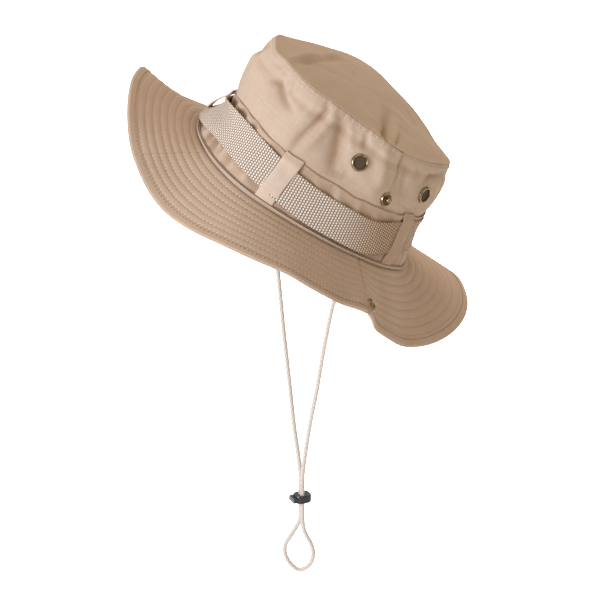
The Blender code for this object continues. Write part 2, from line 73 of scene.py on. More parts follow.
# How far each loop's middle stands off the webbing, in millimetres
LOOP_SLACK = (0.0, 1.0, 0.3, 0.2, 4.5)
LOOP_HALF_DEG = 4.3           # half a loop's width, in degrees round the crown
SWEATBAND_LOW, SWEATBAND_TOP = -0.0035, 0.028
BRIM_WIDTHS = (
    0.055, 0.054, 0.050, 0.046, 0.056, 0.063, 0.059, 0.056, 0.055, 0.055, 0.057, 0.058,
)
BRIM_DROOP_DEG = (
    26, 36, 39, 37, 30, 24, 21, 22, 24, 22, 36, 38, 37, 28, 14, 3, -3, -4,
    0, 6, 11, 18, 23, 25, 25, 24, 24, 21.5, 19.5, 18, 13, 4.5, -4.5, -2, 3, 13,
)
BRIM_WIDTH = 0.056            # its mean
BRIM_ROOT_OUT = 0.0010
BRIM_ROOT_Z = -0.0032
BRIM_HALF = 0.0014            # from the brim's middle to its outer faces
VENT_TURNS = {"left_front": 70.0, "left_rear": 116.0, "right_rear": 244.0, "right_front": 290.0}
VENT_HEIGHT = 0.0563
STUD_HEIGHT = 0.0434
SOCKET_REACH = 0.80
SOCKET_TURNS = {"left": 92.5, "right": 267.5}
SIDES = {"left": 90.0, "right": 270.0}
LEAN_DEG = 36.5
LEAN_TOWARD_DEG = 58.9
CORD_RADIUS = 0.0017
ANCHOR_X = 0.0780
ANCHOR_HANG_DEG = 32.3
ANCHOR_Z = -0.0060            # where the cord leaves each tab
CORD_LEAD = 0.007             # the cord leaves each tab straight for this far
STRAND = 0.00178              # half the distance between the two strands in the lock
LOCK_Z = -0.244
LOOP_TWIST_DEG = 64.0
CORD_ROUTE = (
    (-0.0540, 0, -0.026), (-0.0402, 0, -0.075), (-0.0307, 0, -0.118), (-0.0212, 0, -0.155),
    (-0.0126, 0, -0.190), (-0.0050, 0, -0.212), (-STRAND, 0, -0.226), (-STRAND, 0, -0.244),
    (-STRAND, 0, -0.261), (-0.0042, 40, -0.2695), (-0.0085, LOOP_TWIST_DEG, -0.2770),
    (-0.0122, LOOP_TWIST_DEG, -0.2835), (-0.0128, LOOP_TWIST_DEG, -0.2905),
    (-0.0105, LOOP_TWIST_DEG, -0.2975), (-0.0060, LOOP_TWIST_DEG, -0.3035),
    (-0.0010, LOOP_TWIST_DEG, -0.3060), (0.0050, LOOP_TWIST_DEG, -0.3030),
    (0.0085, LOOP_TWIST_DEG, -0.2965), (0.0090, LOOP_TWIST_DEG, -0.2895),
    (0.0072, LOOP_TWIST_DEG, -0.2830), (0.0042, LOOP_TWIST_DEG, -0.2770), (0.0022, 30, -0.2700),
    (STRAND, 0, -0.261), (STRAND, 0, -0.244), (STRAND, 0, -0.226), (0.0068, 0, -0.204),
    (0.0150, 0, -0.176), (0.0258, 0, -0.145), (0.0366, 0, -0.110), (0.0502, 0, -0.072),
    (0.0638, 0, -0.046),
)

# The lock's spring: its two ends, from the cords' middle along the button's travel, in metres
SPRING_START = 0.00330
SPRING_END = 0.00580
SPRING_RADIUS = 0.00118
SPRING_WIRE = 0.00020
SPRING_COILS = 3

# Stitches: length, pitch and width, in metres
TOP_STITCH = (0.0022, 0.0031, 0.00048)
SWEATBAND_STITCH = (0.0024, 0.0034, 0.0005)
BRIM_STITCH = (0.0021, 0.0030, 0.00058)
# One stitch's rings: share of its length, rise in widths, and thickness in widths
STITCH_RINGS = (
    (0.0, -0.55, 0.75), (0.16, 0.25, 0.95), (0.5, 0.42, 1.0), (0.84, 0.25, 0.95),
    (1.0, -0.55, 0.75),
)
STITCH_SIDES = 6

# ---------------- how this hat's cloth lies, in millimetres

# Every 15 degrees from the front towards the wearer's left
SEAM_RISE = (
    -1.5, -1.3, -1.5, -0.3, -0.9, -1.4, -3.0, -2.4, -0.8, 0.0, -1.0, -2.2,
    -2.2, 0.5, 4.0, 6.5, 9.5, 9.0, 5.3, 2.3, -0.3, 0.0, -1.0, -3.0,
)
SEAM_OUT = (
    -2.5, -1.0, 0.0, 0.0, 0.0, 0.0, 0.0, 0.0, 0.5, 1.5, 0.5, -1.0,
    -2.0, -0.5, 0.5, 1.0, 2.0, 2.0, 1.0, 0.5, 1.5, 2.0, -0.5, -2.0,
)
# Broad swells of the wall: turn, height, their spread in degrees and in millimetres, and how
# far out and up they go
SWELLS = (
    (-37, 62, 24, 12, 2.6, 1.0),
    (-43, 25, 24, 17, -9.5, 0.0),
    (-13, 23, 15, 8, -6.5, 0.0),
    (40, 56, 12, 26, 2.5, 0.0),
    (61, 50, 9, 22, -2.5, 0.0),
    (84, 58, 9, 20, 1.5, 0.0),
    (140, 60, 26, 14, 4.0, 0.0),
    (143, 26, 30, 17, -3.5, 0.0),
)
WEB_MIDDLE = (
    22.0, 22.0, 20.3, 17.3, 14.9, 14.8, 15.2, 21.0, 24.0, 24.5, 24.0, 23.5,
    23.0, 23.0, 22.0, 21.0, 19.0, 16.0, 15.5, 14.5, 14.0, 14.5, 16.0, 19.0,
)
WEB_TOP_OFF = (
    4.6, 1.4, 0.3, 0.2, 0.6, 0.8, 0.4, 0.1, 0.2, 0.1, 0.1, 0.1,
    0.2, 0.6, 0.9, 0.6, 0.2, 0.3, 0.3, 0.2, 0.2, 1.0, 4.0, 6.0,
)
WEB_LOW_OFF = (
    2.0, 1.2, 0.8, 0.4, 1.2, 1.5, 0.8, 0.1, 0.2, 0.1, 0.1, 0.1,
    0.2, 0.6, 0.9, 0.6, 0.2, 0.5, 0.4, 0.2, 0.2, 1.0, 2.0, 2.5,
)
# Every 30 degrees
BAND_TOP = (38.5, 35.6, 34.5, 35.5, 38.5, 38.5, 38.0, 37.5, 36.0, 34.0, 31.0, 33.5)

# Folds in the crown's wall: points (turn, height), width and depth; a negative depth stands out.
WALL_FOLDS = (
    (((3, 63), (10, 66), (19, 62), (28, 59)), 2.8, 1.9),
    (((7, 69), (14, 66), (24, 64)), 3.0, -0.6),
    (((8, 77), (10, 72), (11, 66)), 1.3, 0.45),
    (((18, 78), (20.5, 70), (21, 66)), 1.6, 0.5),
    (((24, 78), (23.5, 71)), 1.6, 0.4),
    (((40, 79), (43, 73), (42, 64), (40, 51), (39, 37)), 2.6, 1.7),
    (((46, 78), (48, 70), (46, 55), (44, 42)), 3.2, -1.0),
    (((36, 74), (36, 62), (35, 46)), 3.0, -0.5),
    (((-50, 62), (-34, 68), (-24, 76)), 6.0, 1.2),
    (((-8, 72), (5, 76)), 3.5, 0.7),
    (((5, 45), (8, 39)), 1.5, 0.5),
    (((50, 79), (54, 67), (58, 53), (60, 42)), 5.0, 1.7),
    (((66, 79), (69, 70), (69, 63)), 3.0, 1.0),
    (((58, 74), (63, 62), (66, 60)), 2.6, -0.5),
    (((60, 40), (66, 42), (70, 49)), 3.0, 0.8),
    (((80, 75), (82, 62), (84, 48)), 5.0, -1.6),
    (((90.5, 80), (91, 70), (92, 56)), 1.4, 1.1),
    (((96, 72), (97, 58), (99, 48)), 4.0, 0.9),
    (((104, 76), (107, 66)), 2.6, 0.4),
    (((110, 62), (118, 69), (128, 72)), 2.4, 1.3),
    (((128, 77), (133, 68), (133, 58)), 2.4, 0.8),
    (((121, 70), (126, 62), (128, 52)), 3.0, -0.7),
    (((100, 44), (108, 42), (118, 46)), 2.4, 0.6),
    (((150, 76), (153, 60), (150, 44)), 3.5, 0.9),
    (((165, 76), (170, 62), (172, 50)), 3.0, -0.8),
    (((185, 77), (188, 64), (184, 48)), 2.8, 0.8),
    (((205, 76), (210, 60), (208, 44)), 3.5, 0.9),
    (((222, 74), (226, 64)), 2.6, -0.7),
    (((236, 77), (240, 66), (246, 62)), 2.4, 0.6),
    (((262, 74), (266, 60), (268, 50)), 3.4, 0.9),
    (((277, 74), (278, 62), (274, 50)), 3.4, -0.8),
    (((300, 76), (304, 64), (302, 48)), 3.0, 0.8),
    (((318, 77), (322, 60), (318, 44)), 3.2, 0.9),
    (((334, 76), (336, 62)), 3.0, -0.7),
)
FOLD_GAIN = 1.6
FOLD_MM_PER_DEG = 1.45        # the cloth's length round the wall, which lays the folds out flat
FOLD_CUT = 60                 # the flat pattern of folds is cut this many degrees before the front
LAID_FOLDS = tuple(
    (
        tuple(((t if t <= 360 - FOLD_CUT else t - 360) * FOLD_MM_PER_DEG, h) for t, h in path),
        width, depth,
    )
    for path, width, depth in WALL_FOLDS
)
# Folds in the top panel: points (x, y), width and depth
TOP_FOLDS = (
    (((-1, -84), (-9, -76), (-18, -58), (-43, -20), (-50, 0)), 4.0, 2.0),
    (((-8, -84), (-20, -66), (-40, -34), (-60, -2)), 4.0, -1.8),
    (((14, 2), (36, -10), (52, -19.5), (64, -27)), 5.0, 3.0),
    (((34, -9.5), (52, -20), (62, -26)), 1.8, 1.9),
    (((22, 6), (45, -8), (62, -18)), 4.0, -2.6),
    (((36, 3), (50, -7), (66, -18)), 1.4, 2.6),
    (((-20, 60), (0, 40), (10, 20)), 8.0, 0.8),
    (((-40, 40), (-20, 20), (0, 0)), 9.0, -0.7),
)


def between(a, b, c, d, f):
    """The point a share f of the way from b to c, on a smooth curve through a, b, c and d."""
    return b + 0.5 * f * (c - a + f * (2 * a - 5 * b + 4 * c - d + f * (3 * (b - c) + d - a)))


def curve_round(values, turn):
    """A smooth periodic curve through values spaced evenly round the hat."""
    values = np.asarray(values, float)
    count = len(values)
    place = np.mod(turn, 360.0) / 360.0 * count
    i = np.floor(place).astype(int)
    f = place - i
    a, b, c, d = (values[(i + k) % count] for k in (-1, 0, 1, 2))
    return between(a, b, c, d, f)


def ease(x, low, high):
    """0 below low, 1 above high, and smooth between."""
    f = np.clip((np.asarray(x, float) - low) / (high - low), 0, 1)
    return f * f * (3 - 2 * f)


def waves(points, size, seed, count=12):
    """A smooth random height at each point, about -1 to 1, with bumps about size apart."""
    rng = np.random.default_rng(seed)
    total = np.zeros(points.shape[:-1])
    for _ in range(count):
        way = rng.normal(size=3)
        way *= math.tau / (size * rng.uniform(0.7, 1.8) * np.linalg.norm(way))
        total += np.sin(points @ way + rng.uniform(0, math.tau))
    return total / math.sqrt(count)


def fold_depth(x, y, folds):
    """How far folds push a flat pattern's point (x, y) in, in mm. Each fades at its ends."""
    total = np.zeros(np.shape(x))
    for path, width, depth in folds:
        near = np.full(np.shape(x), 1e9)
        fade = np.ones(np.shape(x))
        spans = len(path) - 1
        for k in range(spans):
            (ax, ay), (bx, by) = path[k], path[k + 1]
            dx, dy = bx - ax, by - ay
            along = ((x - ax) * dx + (y - ay) * dy) / (dx * dx + dy * dy)
            held = np.clip(along, 0, 1)
            away = (x - ax - held * dx) ** 2 + (y - ay - held * dy) ** 2
            nearer = away < near
            near = np.where(nearer, away, near)
            share = (k + held) / spans
            ends = np.sin(math.pi * np.clip(share * 0.86 + 0.07, 0, 1)) ** 0.6
            fade = np.where(nearer, ends, fade)
        total += depth * fade * np.exp(-near / (width * width))
    return total


# ---------------- surfaces in the hat's own upright frame

LEAN_TOWARD = math.radians(LEAN_TOWARD_DEG)
LEAN_AXIS = (-math.sin(LEAN_TOWARD), math.cos(LEAN_TOWARD), 0)
LEAN = Quaternion(LEAN_AXIS, math.radians(LEAN_DEG)).to_matrix()
LEAN_ARRAY = np.array(LEAN)
UP = np.array((0.0, 0.0, 1.0))


def outward(turn):
    """The level direction straight out of the crown's opening."""
    t = np.radians(turn)
    way = np.stack((np.sin(t) / OPENING_X, -np.cos(t) / OPENING_Y, np.zeros_like(t)), -1)
    return way / np.linalg.norm(way, axis=-1, keepdims=True)


def seam_point(turn):
    """The seam between crown and brim."""
    t = np.radians(turn)
    oval = np.stack((
        OPENING_X * np.sin(t), -OPENING_Y * np.cos(t), -OPENING_WAVE * np.cos(2 * t),
    ), -1)
    return oval + outward(turn) * curve_round(OPENING_SLACK, turn)[..., None]


def even_top(turn):
    """The top seam as an even oval."""
    t = np.radians(turn)
    return np.stack((
        TOP_X * np.sin(t) + TOP_SHIFT[0], -TOP_Y * np.cos(t) + TOP_SHIFT[1],
        np.full_like(t, CROWN_HEIGHT),
    ), -1)


def top_edge(turn):
    """The top seam as it really runs, a few millimetres in and out and up and down."""
    shift = curve_round(SEAM_OUT, turn)[..., None] * outward(turn) * MM
    return even_top(turn) + shift + curve_round(SEAM_RISE, turn)[..., None] * UP * MM


def plain_wall(turn, height):
    """The crown's wall with its broad swells and without its folds."""
    top = even_top(turn)
    share = (height / CROWN_HEIGHT)[..., None]
    moved = (top_edge(turn) - top) * ease(height, 0.040, CROWN_HEIGHT)[..., None]
    base = seam_point(turn) * (1 - share) + top * share + moved
    for mid_turn, mid_height, wide, tall, out, up in SWELLS:
        away = ((np.asarray(turn) - mid_turn + 180) % 360 - 180) / wide
        bump = np.exp(-away ** 2 - ((height / MM - mid_height) / tall) ** 2)
        bump = bump * ease(height, 0, 0.012)
        base = base + (outward(turn) * out + UP * up) * bump[..., None] * MM
    return base


def wall_folds(turn, height):
    """How deep the wall's folds are at a place, in millimetres."""
    wrapped = (turn + FOLD_CUT) % 360 - FOLD_CUT
    return fold_depth(wrapped * FOLD_MM_PER_DEG, height / MM, LAID_FOLDS) * FOLD_GAIN


METRES_PER_DEG = 0.0014       # the wall's length round the crown, near the vents and studs


def near_metal(turn, height, reach):
    """1 away from the vents and studs and 0 on them, so that the cloth lies flat under them."""
    keep = np.ones(np.shape(turn))
    spots = [(t, VENT_HEIGHT) for t in VENT_TURNS.values()]
    spots += [(t, STUD_HEIGHT) for t in SIDES.values()]
    for spot_turn, spot_height in spots:
        gap = np.abs((turn - spot_turn + 180) % 360 - 180) * METRES_PER_DEG
        away = np.sqrt(gap ** 2 + (height - spot_height) ** 2)
        keep *= ease(away, reach * 0.6, reach * 1.6)
    return keep


def wall(turn, height, out=0.0, puff=1.0):
    """The crown's wall: turn in degrees, height and out in metres, with its folds at puff 1."""
    turn = np.asarray(turn, float)
    height = np.broadcast_to(np.asarray(height, float), turn.shape)
    base = plain_wall(turn, height)
    free = ease(height, 0.033, 0.045) * ease(-height, -0.0795, -0.073)
    folds = -wall_folds(turn, height)
    soft = waves(base, 0.036, 5) * 0.85 + waves(base, 0.013, 6) * 0.22
    arch = np.sin(np.clip(height / CROWN_HEIGHT, 0, 1) * math.pi)
    belly = 1.4 * arch * ease(height, 0.02, 0.045)
    bumps = (folds + soft) * near_metal(turn, height, 0.008) * (0.25 + 0.75 * free) + belly
    pucker = 0.22 * np.sin(np.radians(turn) * 95) * ease(height, 0.073, 0.079)
    lift = (bumps + pucker) * MM * puff + out
    return base + outward(turn) * lift[..., None]


def brim_middle(turn):
    """The brim's root, and the directions along its cloth and up out of it."""
    droop = np.radians(curve_round(BRIM_DROOP_DEG, turn))[..., None]
    level = outward(turn)
    along = level * np.cos(droop) - UP * np.sin(droop)
    up = level * np.sin(droop) + UP * np.cos(droop)
    root = seam_point(turn) + level * BRIM_ROOT_OUT + UP * BRIM_ROOT_Z
    return root, along, up


QUILT = 6.0 * MM              # between two rows of the brim's quilting
QUILT_ROWS = 8
HEM = 50.5 * MM               # from the seam to the edge's binding


def brim(turn, reach, lift):
    """A point of the brim: reach 0 at the seam and 1 at the edge, lift in metres off its middle."""
    turn = np.asarray(turn, float)
    reach = np.broadcast_to(np.asarray(reach, float), turn.shape)
    root, along, up = brim_middle(turn)
    base = root + along * (curve_round(BRIM_WIDTHS, turn) * reach)[..., None]
    sway = waves(base, 0.055, 11) * 0.8 * ease(reach, 0.15, 1.0) * MM
    return base + up * (np.asarray(lift) + sway)[..., None]


def quilt(reach, turn):
    """How far the brim's cloth puffs up between its rows of stitching."""
    r = reach * BRIM_WIDTH
    puff = np.abs(np.sin(math.pi * r / QUILT)) ** 0.55
    ripple = 0.10 * np.sin(np.radians(turn) * 300 + np.floor(r / QUILT) * 1.7) * puff
    puff = np.where(r > HEM, 0.7, puff)
    return (0.75 * (puff + ripple) - 0.55) * MM


# ---------------- meshes

def new_object(name, mesh, material):
    """An object in the scene with this material."""
    obj = bpy.data.objects.new(name, mesh)
    bpy.context.scene.collection.objects.link(obj)
    if material:
        mesh.materials.append(material)
    return obj


def smooth_mesh(name, verts, faces):
    mesh = bpy.data.meshes.new(name)
    mesh.from_pydata(verts, [], faces)
    mesh.shade_smooth()
    return mesh


def grid(name, points, uv, material, wrap=False, tube=False, local=True, cap=False):
    """A sheet from a grid of points, rows first. wrap joins its last column to its first and
    tube its rows; cap closes its open ends. The points are in the hat's upright frame, or in
    the row's where local is False. uv has a corner for every row and column, and one more
    column or row where the sheet closes."""
    rows, columns = points.shape[:2]
    verts = points.reshape(-1, 3)
    if local:
        verts = verts @ LEAN_ARRAY.T
    r = np.arange(rows if tube else rows - 1)[:, None]
    c = np.arange(columns if wrap else columns - 1)[None, :]
    corners = ((r, c), (r, c + 1), (r + 1, c + 1), (r + 1, c))
    faces = np.stack([(a % rows) * columns + (b % columns) for a, b in corners], -1).reshape(-1, 4)
    corner_uv = np.stack([uv[a, b] for a, b in corners], -2).reshape(-1, 2)
    mesh = smooth_mesh(name, verts.tolist(), faces.tolist())
    layer = mesh.uv_layers.new(name="cloth")
    layer.data.foreach_set("uv", corner_uv.astype(np.float32).ravel())
    if cap:
        bm = bmesh.new()
        bm.from_mesh(mesh)
        bmesh.ops.holes_fill(bm, edges=[e for e in bm.edges if e.is_boundary], sides=0)
        bm.to_mesh(mesh)
        bm.free()
    return new_object(name, mesh, material)


def mark_folds(obj, depths):
    """Keep the depth of the folds on the mesh, for the painted shade in the cloth's colour."""
    fold = obj.data.attributes.new("fold", "FLOAT", "POINT")
    fold.data.foreach_set("value", np.maximum(depths, 0.0).astype(np.float32).ravel())


def thicken(obj, thickness):
    """Give a sheet its thickness, inward from its outer face."""
    solidify = obj.modifiers.new("thickness", "SOLIDIFY")
    solidify.thickness = thickness
    solidify.offset = -1


def uv_grid(rows, columns):
    """UVs in metres of cloth: rows are heights and columns are lengths round the hat."""
    return np.stack(np.meshgrid(columns, rows), -1)


def stitches(name, starts, ends, normals, width, material, slot):
    """Threads that come up out of the cloth at starts, lie on it and go down again at ends."""
    along = ends - starts
    length = np.linalg.norm(along, axis=-1, keepdims=True)
    along = along / length
    normals = normals - along * np.sum(normals * along, -1, keepdims=True)
    normals /= np.linalg.norm(normals, axis=-1, keepdims=True)
    side = np.cross(along, normals)
    sides = STITCH_SIDES
    rings = []
    for share, rise, thick in STITCH_RINGS:
        middle = starts + along * length * share + normals * width * rise
        for k in range(sides):
            turn = math.tau * k / sides
            spoke = side * math.cos(turn) + normals * math.sin(turn)
            rings.append(middle + spoke * width * thick / 2)
    verts = np.stack(rings, 1)
    count = len(starts)
    ring_count = len(STITCH_RINGS)
    base = (np.arange(count) * sides * ring_count)[:, None]
    quads, caps = [], []
    for r in range(ring_count - 1):
        for k in range(sides):
            n = (k + 1) % sides
            quads.append(np.concatenate([
                base + r * sides + k, base + (r + 1) * sides + k,
                base + (r + 1) * sides + n, base + r * sides + n], 1))
    faces = np.concatenate(quads).tolist()
    for r, order in ((0, range(sides)), (ring_count - 1, range(sides - 1, -1, -1))):
        caps += np.concatenate([base + r * sides + k for k in order], 1).tolist()
    verts = verts.reshape(-1, 3) @ LEAN_ARRAY.T
    mesh = smooth_mesh(name, verts.tolist(), faces + caps)
    return new_object(name, mesh, material)


def row_of_stitches(name, path, normal_of, stitch, material, slot, seed):
    """Stitches along a path of points, with small differences from one to the next."""
    length, pitch, width = stitch
    steps = np.linalg.norm(np.diff(path, axis=0), axis=-1)
    travelled = np.concatenate(([0], np.cumsum(steps)))
    count = max(2, int(travelled[-1] / pitch))
    rng = np.random.default_rng(seed)
    begin = (np.arange(count) + 0.15) * travelled[-1] / count
    jitter = rng.uniform(-0.06, 0.06, (2, count)) * pitch
    spots = []
    for along in (begin + jitter[0], begin + length + jitter[1]):
        along = np.clip(along, 0, travelled[-1])
        spots.append(np.stack([np.interp(along, travelled, path[:, k]) for k in range(3)], -1))
    normals = np.stack([np.interp(begin, travelled, normal_of[:, k]) for k in range(3)], -1)
    return stitches(name, *spots, normals, width, material, slot)


def turned(name, profile, material, steps=48):
    """A turned piece about Z: profile gives (radius, height) points down its outer side."""
    verts, faces = [], []
    rings = []
    for radius, height in profile:
        if radius < 1e-7:
            rings.append([len(verts)])
            verts.append((0, 0, height))
        else:
            rings.append(list(range(len(verts), len(verts) + steps)))
            turns = [math.tau * k / steps for k in range(steps)]
            verts += [(radius * math.cos(t), radius * math.sin(t), height) for t in turns]
    closed = profile[0][0] > 1e-7
    pairs = list(zip(rings, rings[1:] + ([rings[0]] if closed else [])))
    for upper, lower in pairs:
        for k in range(steps):
            n = (k + 1) % steps
            if len(upper) == 1:
                faces.append((upper[0], lower[k], lower[n]))
            elif len(lower) == 1:
                faces.append((upper[k], lower[0], upper[n]))
            else:
                faces.append((upper[k], lower[k], lower[n], upper[n]))
    mesh = smooth_mesh(name, verts, faces)
    mesh.set_sharp_from_angle(angle=math.radians(50))
    return new_object(name, mesh, material)


def facing(origin, normal):
    """A frame in the row's space, from a point and the way its Z runs in the hat's own."""
    turn = Vector(normal).normalized().to_track_quat("Z", "Y").to_matrix()
    return LEAN.to_4x4() @ Matrix.Translation(Vector(origin)) @ turn.to_4x4()


# ---------------- materials

class Nodes:
    """Short ways to make shader nodes."""

    def __init__(self, name):
        self.material = bpy.data.materials.new(name)
        self.material.use_nodes = True
        self.tree = self.material.node_tree
        self.shader = self.tree.nodes["Principled BSDF"]

    def put(self, socket, value):
        if isinstance(value, bpy.types.NodeSocket):
            self.tree.links.new(value, socket)
        else:
            socket.default_value = value

    def node(self, kind, settings=None, **inputs):
        made = self.tree.nodes.new("ShaderNode" + kind)
        for key, value in (settings or {}).items():
            setattr(made, key, value)
        for key, value in inputs.items():
            self.put(made.inputs[key.replace("_", " ")], value)
        return made

    def math(self, operation, a, b=0.0, clamp=False):
        made = self.tree.nodes.new("ShaderNodeMath")
        made.operation = operation
        made.use_clamp = clamp
        self.put(made.inputs[0], a)
        self.put(made.inputs[1], b)
        return made.outputs[0]

    def mul(self, a, b):
        return self.math("MULTIPLY", a, b)

    def add(self, a, b, clamp=False):
        return self.math("ADD", a, b, clamp)

    def uv(self):
        uv = self.node("UVMap", {"uv_map": "cloth"}).outputs["UV"]
        split = self.node("SeparateXYZ", Vector=uv)
        return split.outputs["X"], split.outputs["Y"]

    def toward_rear(self, low, high):
        """0 in front of low and 1 behind high, along the object's Y."""
        place = self.node("SeparateXYZ", Vector=self.node("TexCoord").outputs["Object"])
        return self.span(place.outputs["Y"], low, high)

    def noise(self, scale, detail=3.0, rough=0.55, vector=None):
        made = self.node("TexNoise", Scale=scale, Detail=detail, Roughness=rough)
        self.put(made.inputs["Vector"], vector or self.node("TexCoord").outputs["Object"])
        return made.outputs["Fac"]

    def span(self, value, low, high, to_low=0.0, to_high=1.0):
        made = self.node("MapRange", {"interpolation_type": "SMOOTHSTEP"})
        for socket, number in zip(made.inputs, (value, low, high, to_low, to_high)):
            self.put(socket, number)
        return made.outputs[0]

    def mix(self, share, a, b, blend="MIX"):
        made = self.tree.nodes.new("ShaderNodeMix")
        made.data_type = "RGBA"
        made.blend_type = blend
        self.put(made.inputs["Factor"], share)
        for socket, value in ((made.inputs[6], a), (made.inputs[7], b)):
            self.put(socket, (*value, 1.0) if isinstance(value, tuple) else value)
        return made.outputs[2]

    def line(self, place, pitch, width):
        """1 on lines a pitch apart, and 0 between them."""
        cell = self.math("FRACT", self.math("DIVIDE", place, pitch))
        away = self.math("ABSOLUTE", self.math("SUBTRACT", cell, 0.5))
        return self.span(away, 0.5 - width / pitch, 0.5)

    def finish(self, colour, height=None, bump=0.3, depth=0.0002, **shader):
        self.put(self.shader.inputs["Base Color"], colour)
        for key, value in shader.items():
            self.put(self.shader.inputs[key.replace("_", " ")], value)
        if height is not None:
            made = self.node("Bump", Strength=bump, Distance=depth, Height=height)
            self.put(self.shader.inputs["Normal"], made.outputs["Normal"])
        return self.material


THREAD_PITCH = 0.00042
TWILL_PITCH = 0.0009
RIPSTOP_PITCH, RIPSTOP_LINE = 0.0038, 0.00035
SLUB_FINE, SLUB_LONG = 900.0, 120.0     # slubs to the metre across and along a thread
# Painted shade: the loops and the webbing darken toward the hat's rear between these two places
# along Y
REAR_SHADE_FROM, REAR_SHADE_TO = -0.03, 0.02        # where the tint of the hat's rear sets in, along Y


def cotton(name, light, dark, ripstop=0.0, twill=False, rear=None):
    """Woven cotton: fine threads, slubs, uneven dye, and ripstop lines or a twill's diagonal ribs.
    The cloth is darker inside its folds as painted shade, whose depth in millimetres it reads from
    the mesh, and rear darkens it toward the hat's back as painted shade."""
    n = Nodes(name)
    u, v = n.uv()
    if twill:
        slant = n.add(u, n.mul(v, 0.9))
        weave = n.math("SINE", n.mul(slant, math.tau / TWILL_PITCH))
    else:
        warp = n.math("SINE", n.mul(u, math.tau / THREAD_PITCH))
        weft = n.math("SINE", n.mul(v, math.tau / THREAD_PITCH))
        weave = n.mul(warp, weft)
    slubs = []
    for wide, high in ((SLUB_FINE, SLUB_LONG), (SLUB_LONG, SLUB_FINE)):
        cells = n.node("CombineXYZ", X=n.mul(u, wide), Y=n.mul(v, high))
        slubs.append(n.noise(1.0, 2.0, vector=cells.outputs[0]))
    slubs = n.add(*slubs)
    blotch = n.noise(26.0, 4.0, 0.6)
    fade = n.noise(9.0, 2.0, 0.5)
    tone = n.add(n.mul(n.span(blotch, 0.3, 0.7), 0.35),
                  n.mul(n.span(fade, 0.3, 0.7), 0.35))
    tone = n.add(tone, n.mul(n.math("SUBTRACT", slubs, 1.0), 0.8))
    tone = n.add(tone, n.mul(weave, 0.06), clamp=True)
    height = n.add(n.mul(weave, 0.35), n.mul(slubs, 0.6))
    colour = n.mix(tone, light, dark)
    if ripstop:
        lines = n.math("MAXIMUM", *(n.line(place, RIPSTOP_PITCH, RIPSTOP_LINE) for place in (u, v)))
        broken = n.mul(lines, n.span(n.noise(150.0, 2.0), 0.35, 0.6))
        deep = tuple(c * 0.72 for c in dark)
        colour = n.mix(n.mul(broken, ripstop), colour, deep)
        height = n.add(height, n.mul(lines, 0.5))
    # Painted shade: the cloth is darker and browner inside its folds, by the depth kept on the mesh
    inside = n.node("Attribute", {"attribute_name": "fold"}).outputs["Fac"]
    colour = n.mix(n.span(inside, 0.2, 4.2), colour, (0.72, 0.62, 0.52), "MULTIPLY")
    # Painted shade: rear darkens the cloth toward the hat's back
    if rear:
        colour = n.mix(n.toward_rear(REAR_SHADE_FROM, REAR_SHADE_TO), colour, rear, "MULTIPLY")
    return n.finish(colour, height, 0.5, 0.00012, Roughness=0.86, Sheen_Weight=0.08,
                    Sheen_Roughness=0.45, Specular_IOR_Level=0.12)


def webbing_material():
    """Coarse basket-weave webbing: cream thread crowns on brown, staggered from row to row."""
    n = Nodes("webbing")
    u, v = n.uv()
    pitch_u, pitch_v = WEBBING_PITCH, WEBBING_WIDTH / WEBBING_THREADS
    column = n.math("FLOOR", n.math("DIVIDE", u, pitch_u))
    shift = n.mul(n.math("MODULO", column, 2.0), 0.5)
    along = n.math("FRACT", n.math("DIVIDE", u, pitch_u))
    across = n.math("FRACT", n.add(n.math("DIVIDE", v, pitch_v), shift))
    du = n.mul(n.math("SUBTRACT", along, 0.5), 2.0)
    dv = n.mul(n.math("SUBTRACT", across, 0.5), 2.0)
    away = n.add(n.mul(n.mul(du, du), 1.15),
                  n.mul(n.mul(dv, dv), 0.9))
    crown = n.span(away, 0.15, 1.15, 1.0, 0.0)
    wear = n.noise(700.0, 2.0)
    light = n.mix(wear, (0.95, 0.85, 0.72), (0.78, 0.64, 0.50))
    deep = n.mix(n.noise(60.0, 2.0), (0.21, 0.11, 0.06), (0.28, 0.165, 0.10))
    colour = n.mix(crown, deep, light)
    # Painted shade: the webbing darkens toward the hat's back
    colour = n.mix(n.toward_rear(REAR_SHADE_FROM, REAR_SHADE_TO), colour, (0.76, 0.62, 0.49), "MULTIPLY")
    return n.finish(colour, crown, 0.9, 0.0004, Roughness=0.6, Specular_IOR_Level=0.2)


def thread_material(name, light, dark, rear=None):
    """Sewing thread; rear is a darker colour it takes on the back of the hat, as painted shade."""
    n = Nodes(name)
    colour = n.mix(n.span(n.noise(1400.0, 2.0), 0.35, 0.65), light, dark)
    # Painted shade on the back of the hat
    if rear:
        colour = n.mix(n.toward_rear(-0.045, 0.0), colour, rear)
    return n.finish(colour, n.noise(3000.0, 1.0), 0.4, 0.0001, Roughness=0.6, Sheen_Weight=0.2)


def brass_material():
    """Antique brass: bright where it is rubbed, brown in its hollows."""
    n = Nodes("antique_brass")
    point = n.node("NewGeometry").outputs["Pointiness"]
    rubbed = n.span(point, 0.49, 0.60)
    patina = n.mul(n.span(n.noise(420.0, 4.0, 0.6), 0.4, 0.65), 0.5)
    share = n.math("SUBTRACT", rubbed, patina, clamp=True)
    colour = n.mix(share, (0.15, 0.09, 0.04), (0.76, 0.58, 0.34))
    rough = n.span(n.noise(900.0, 3.0), 0.2, 0.8, 0.22, 0.42)
    return n.finish(colour, n.noise(1600.0, 3.0), 0.12, 0.0001, Roughness=rough, Metallic=1.0)


def gauze_material():
    """Dark wire cloth."""
    n = Nodes("vent_gauze")
    colour = n.mix(n.noise(1500.0, 2.0), (0.10, 0.06, 0.04), (0.22, 0.14, 0.09))
    return n.finish(colour, n.noise(2500.0, 2.0), 0.3, 0.0001, Roughness=0.5, Metallic=0.4)


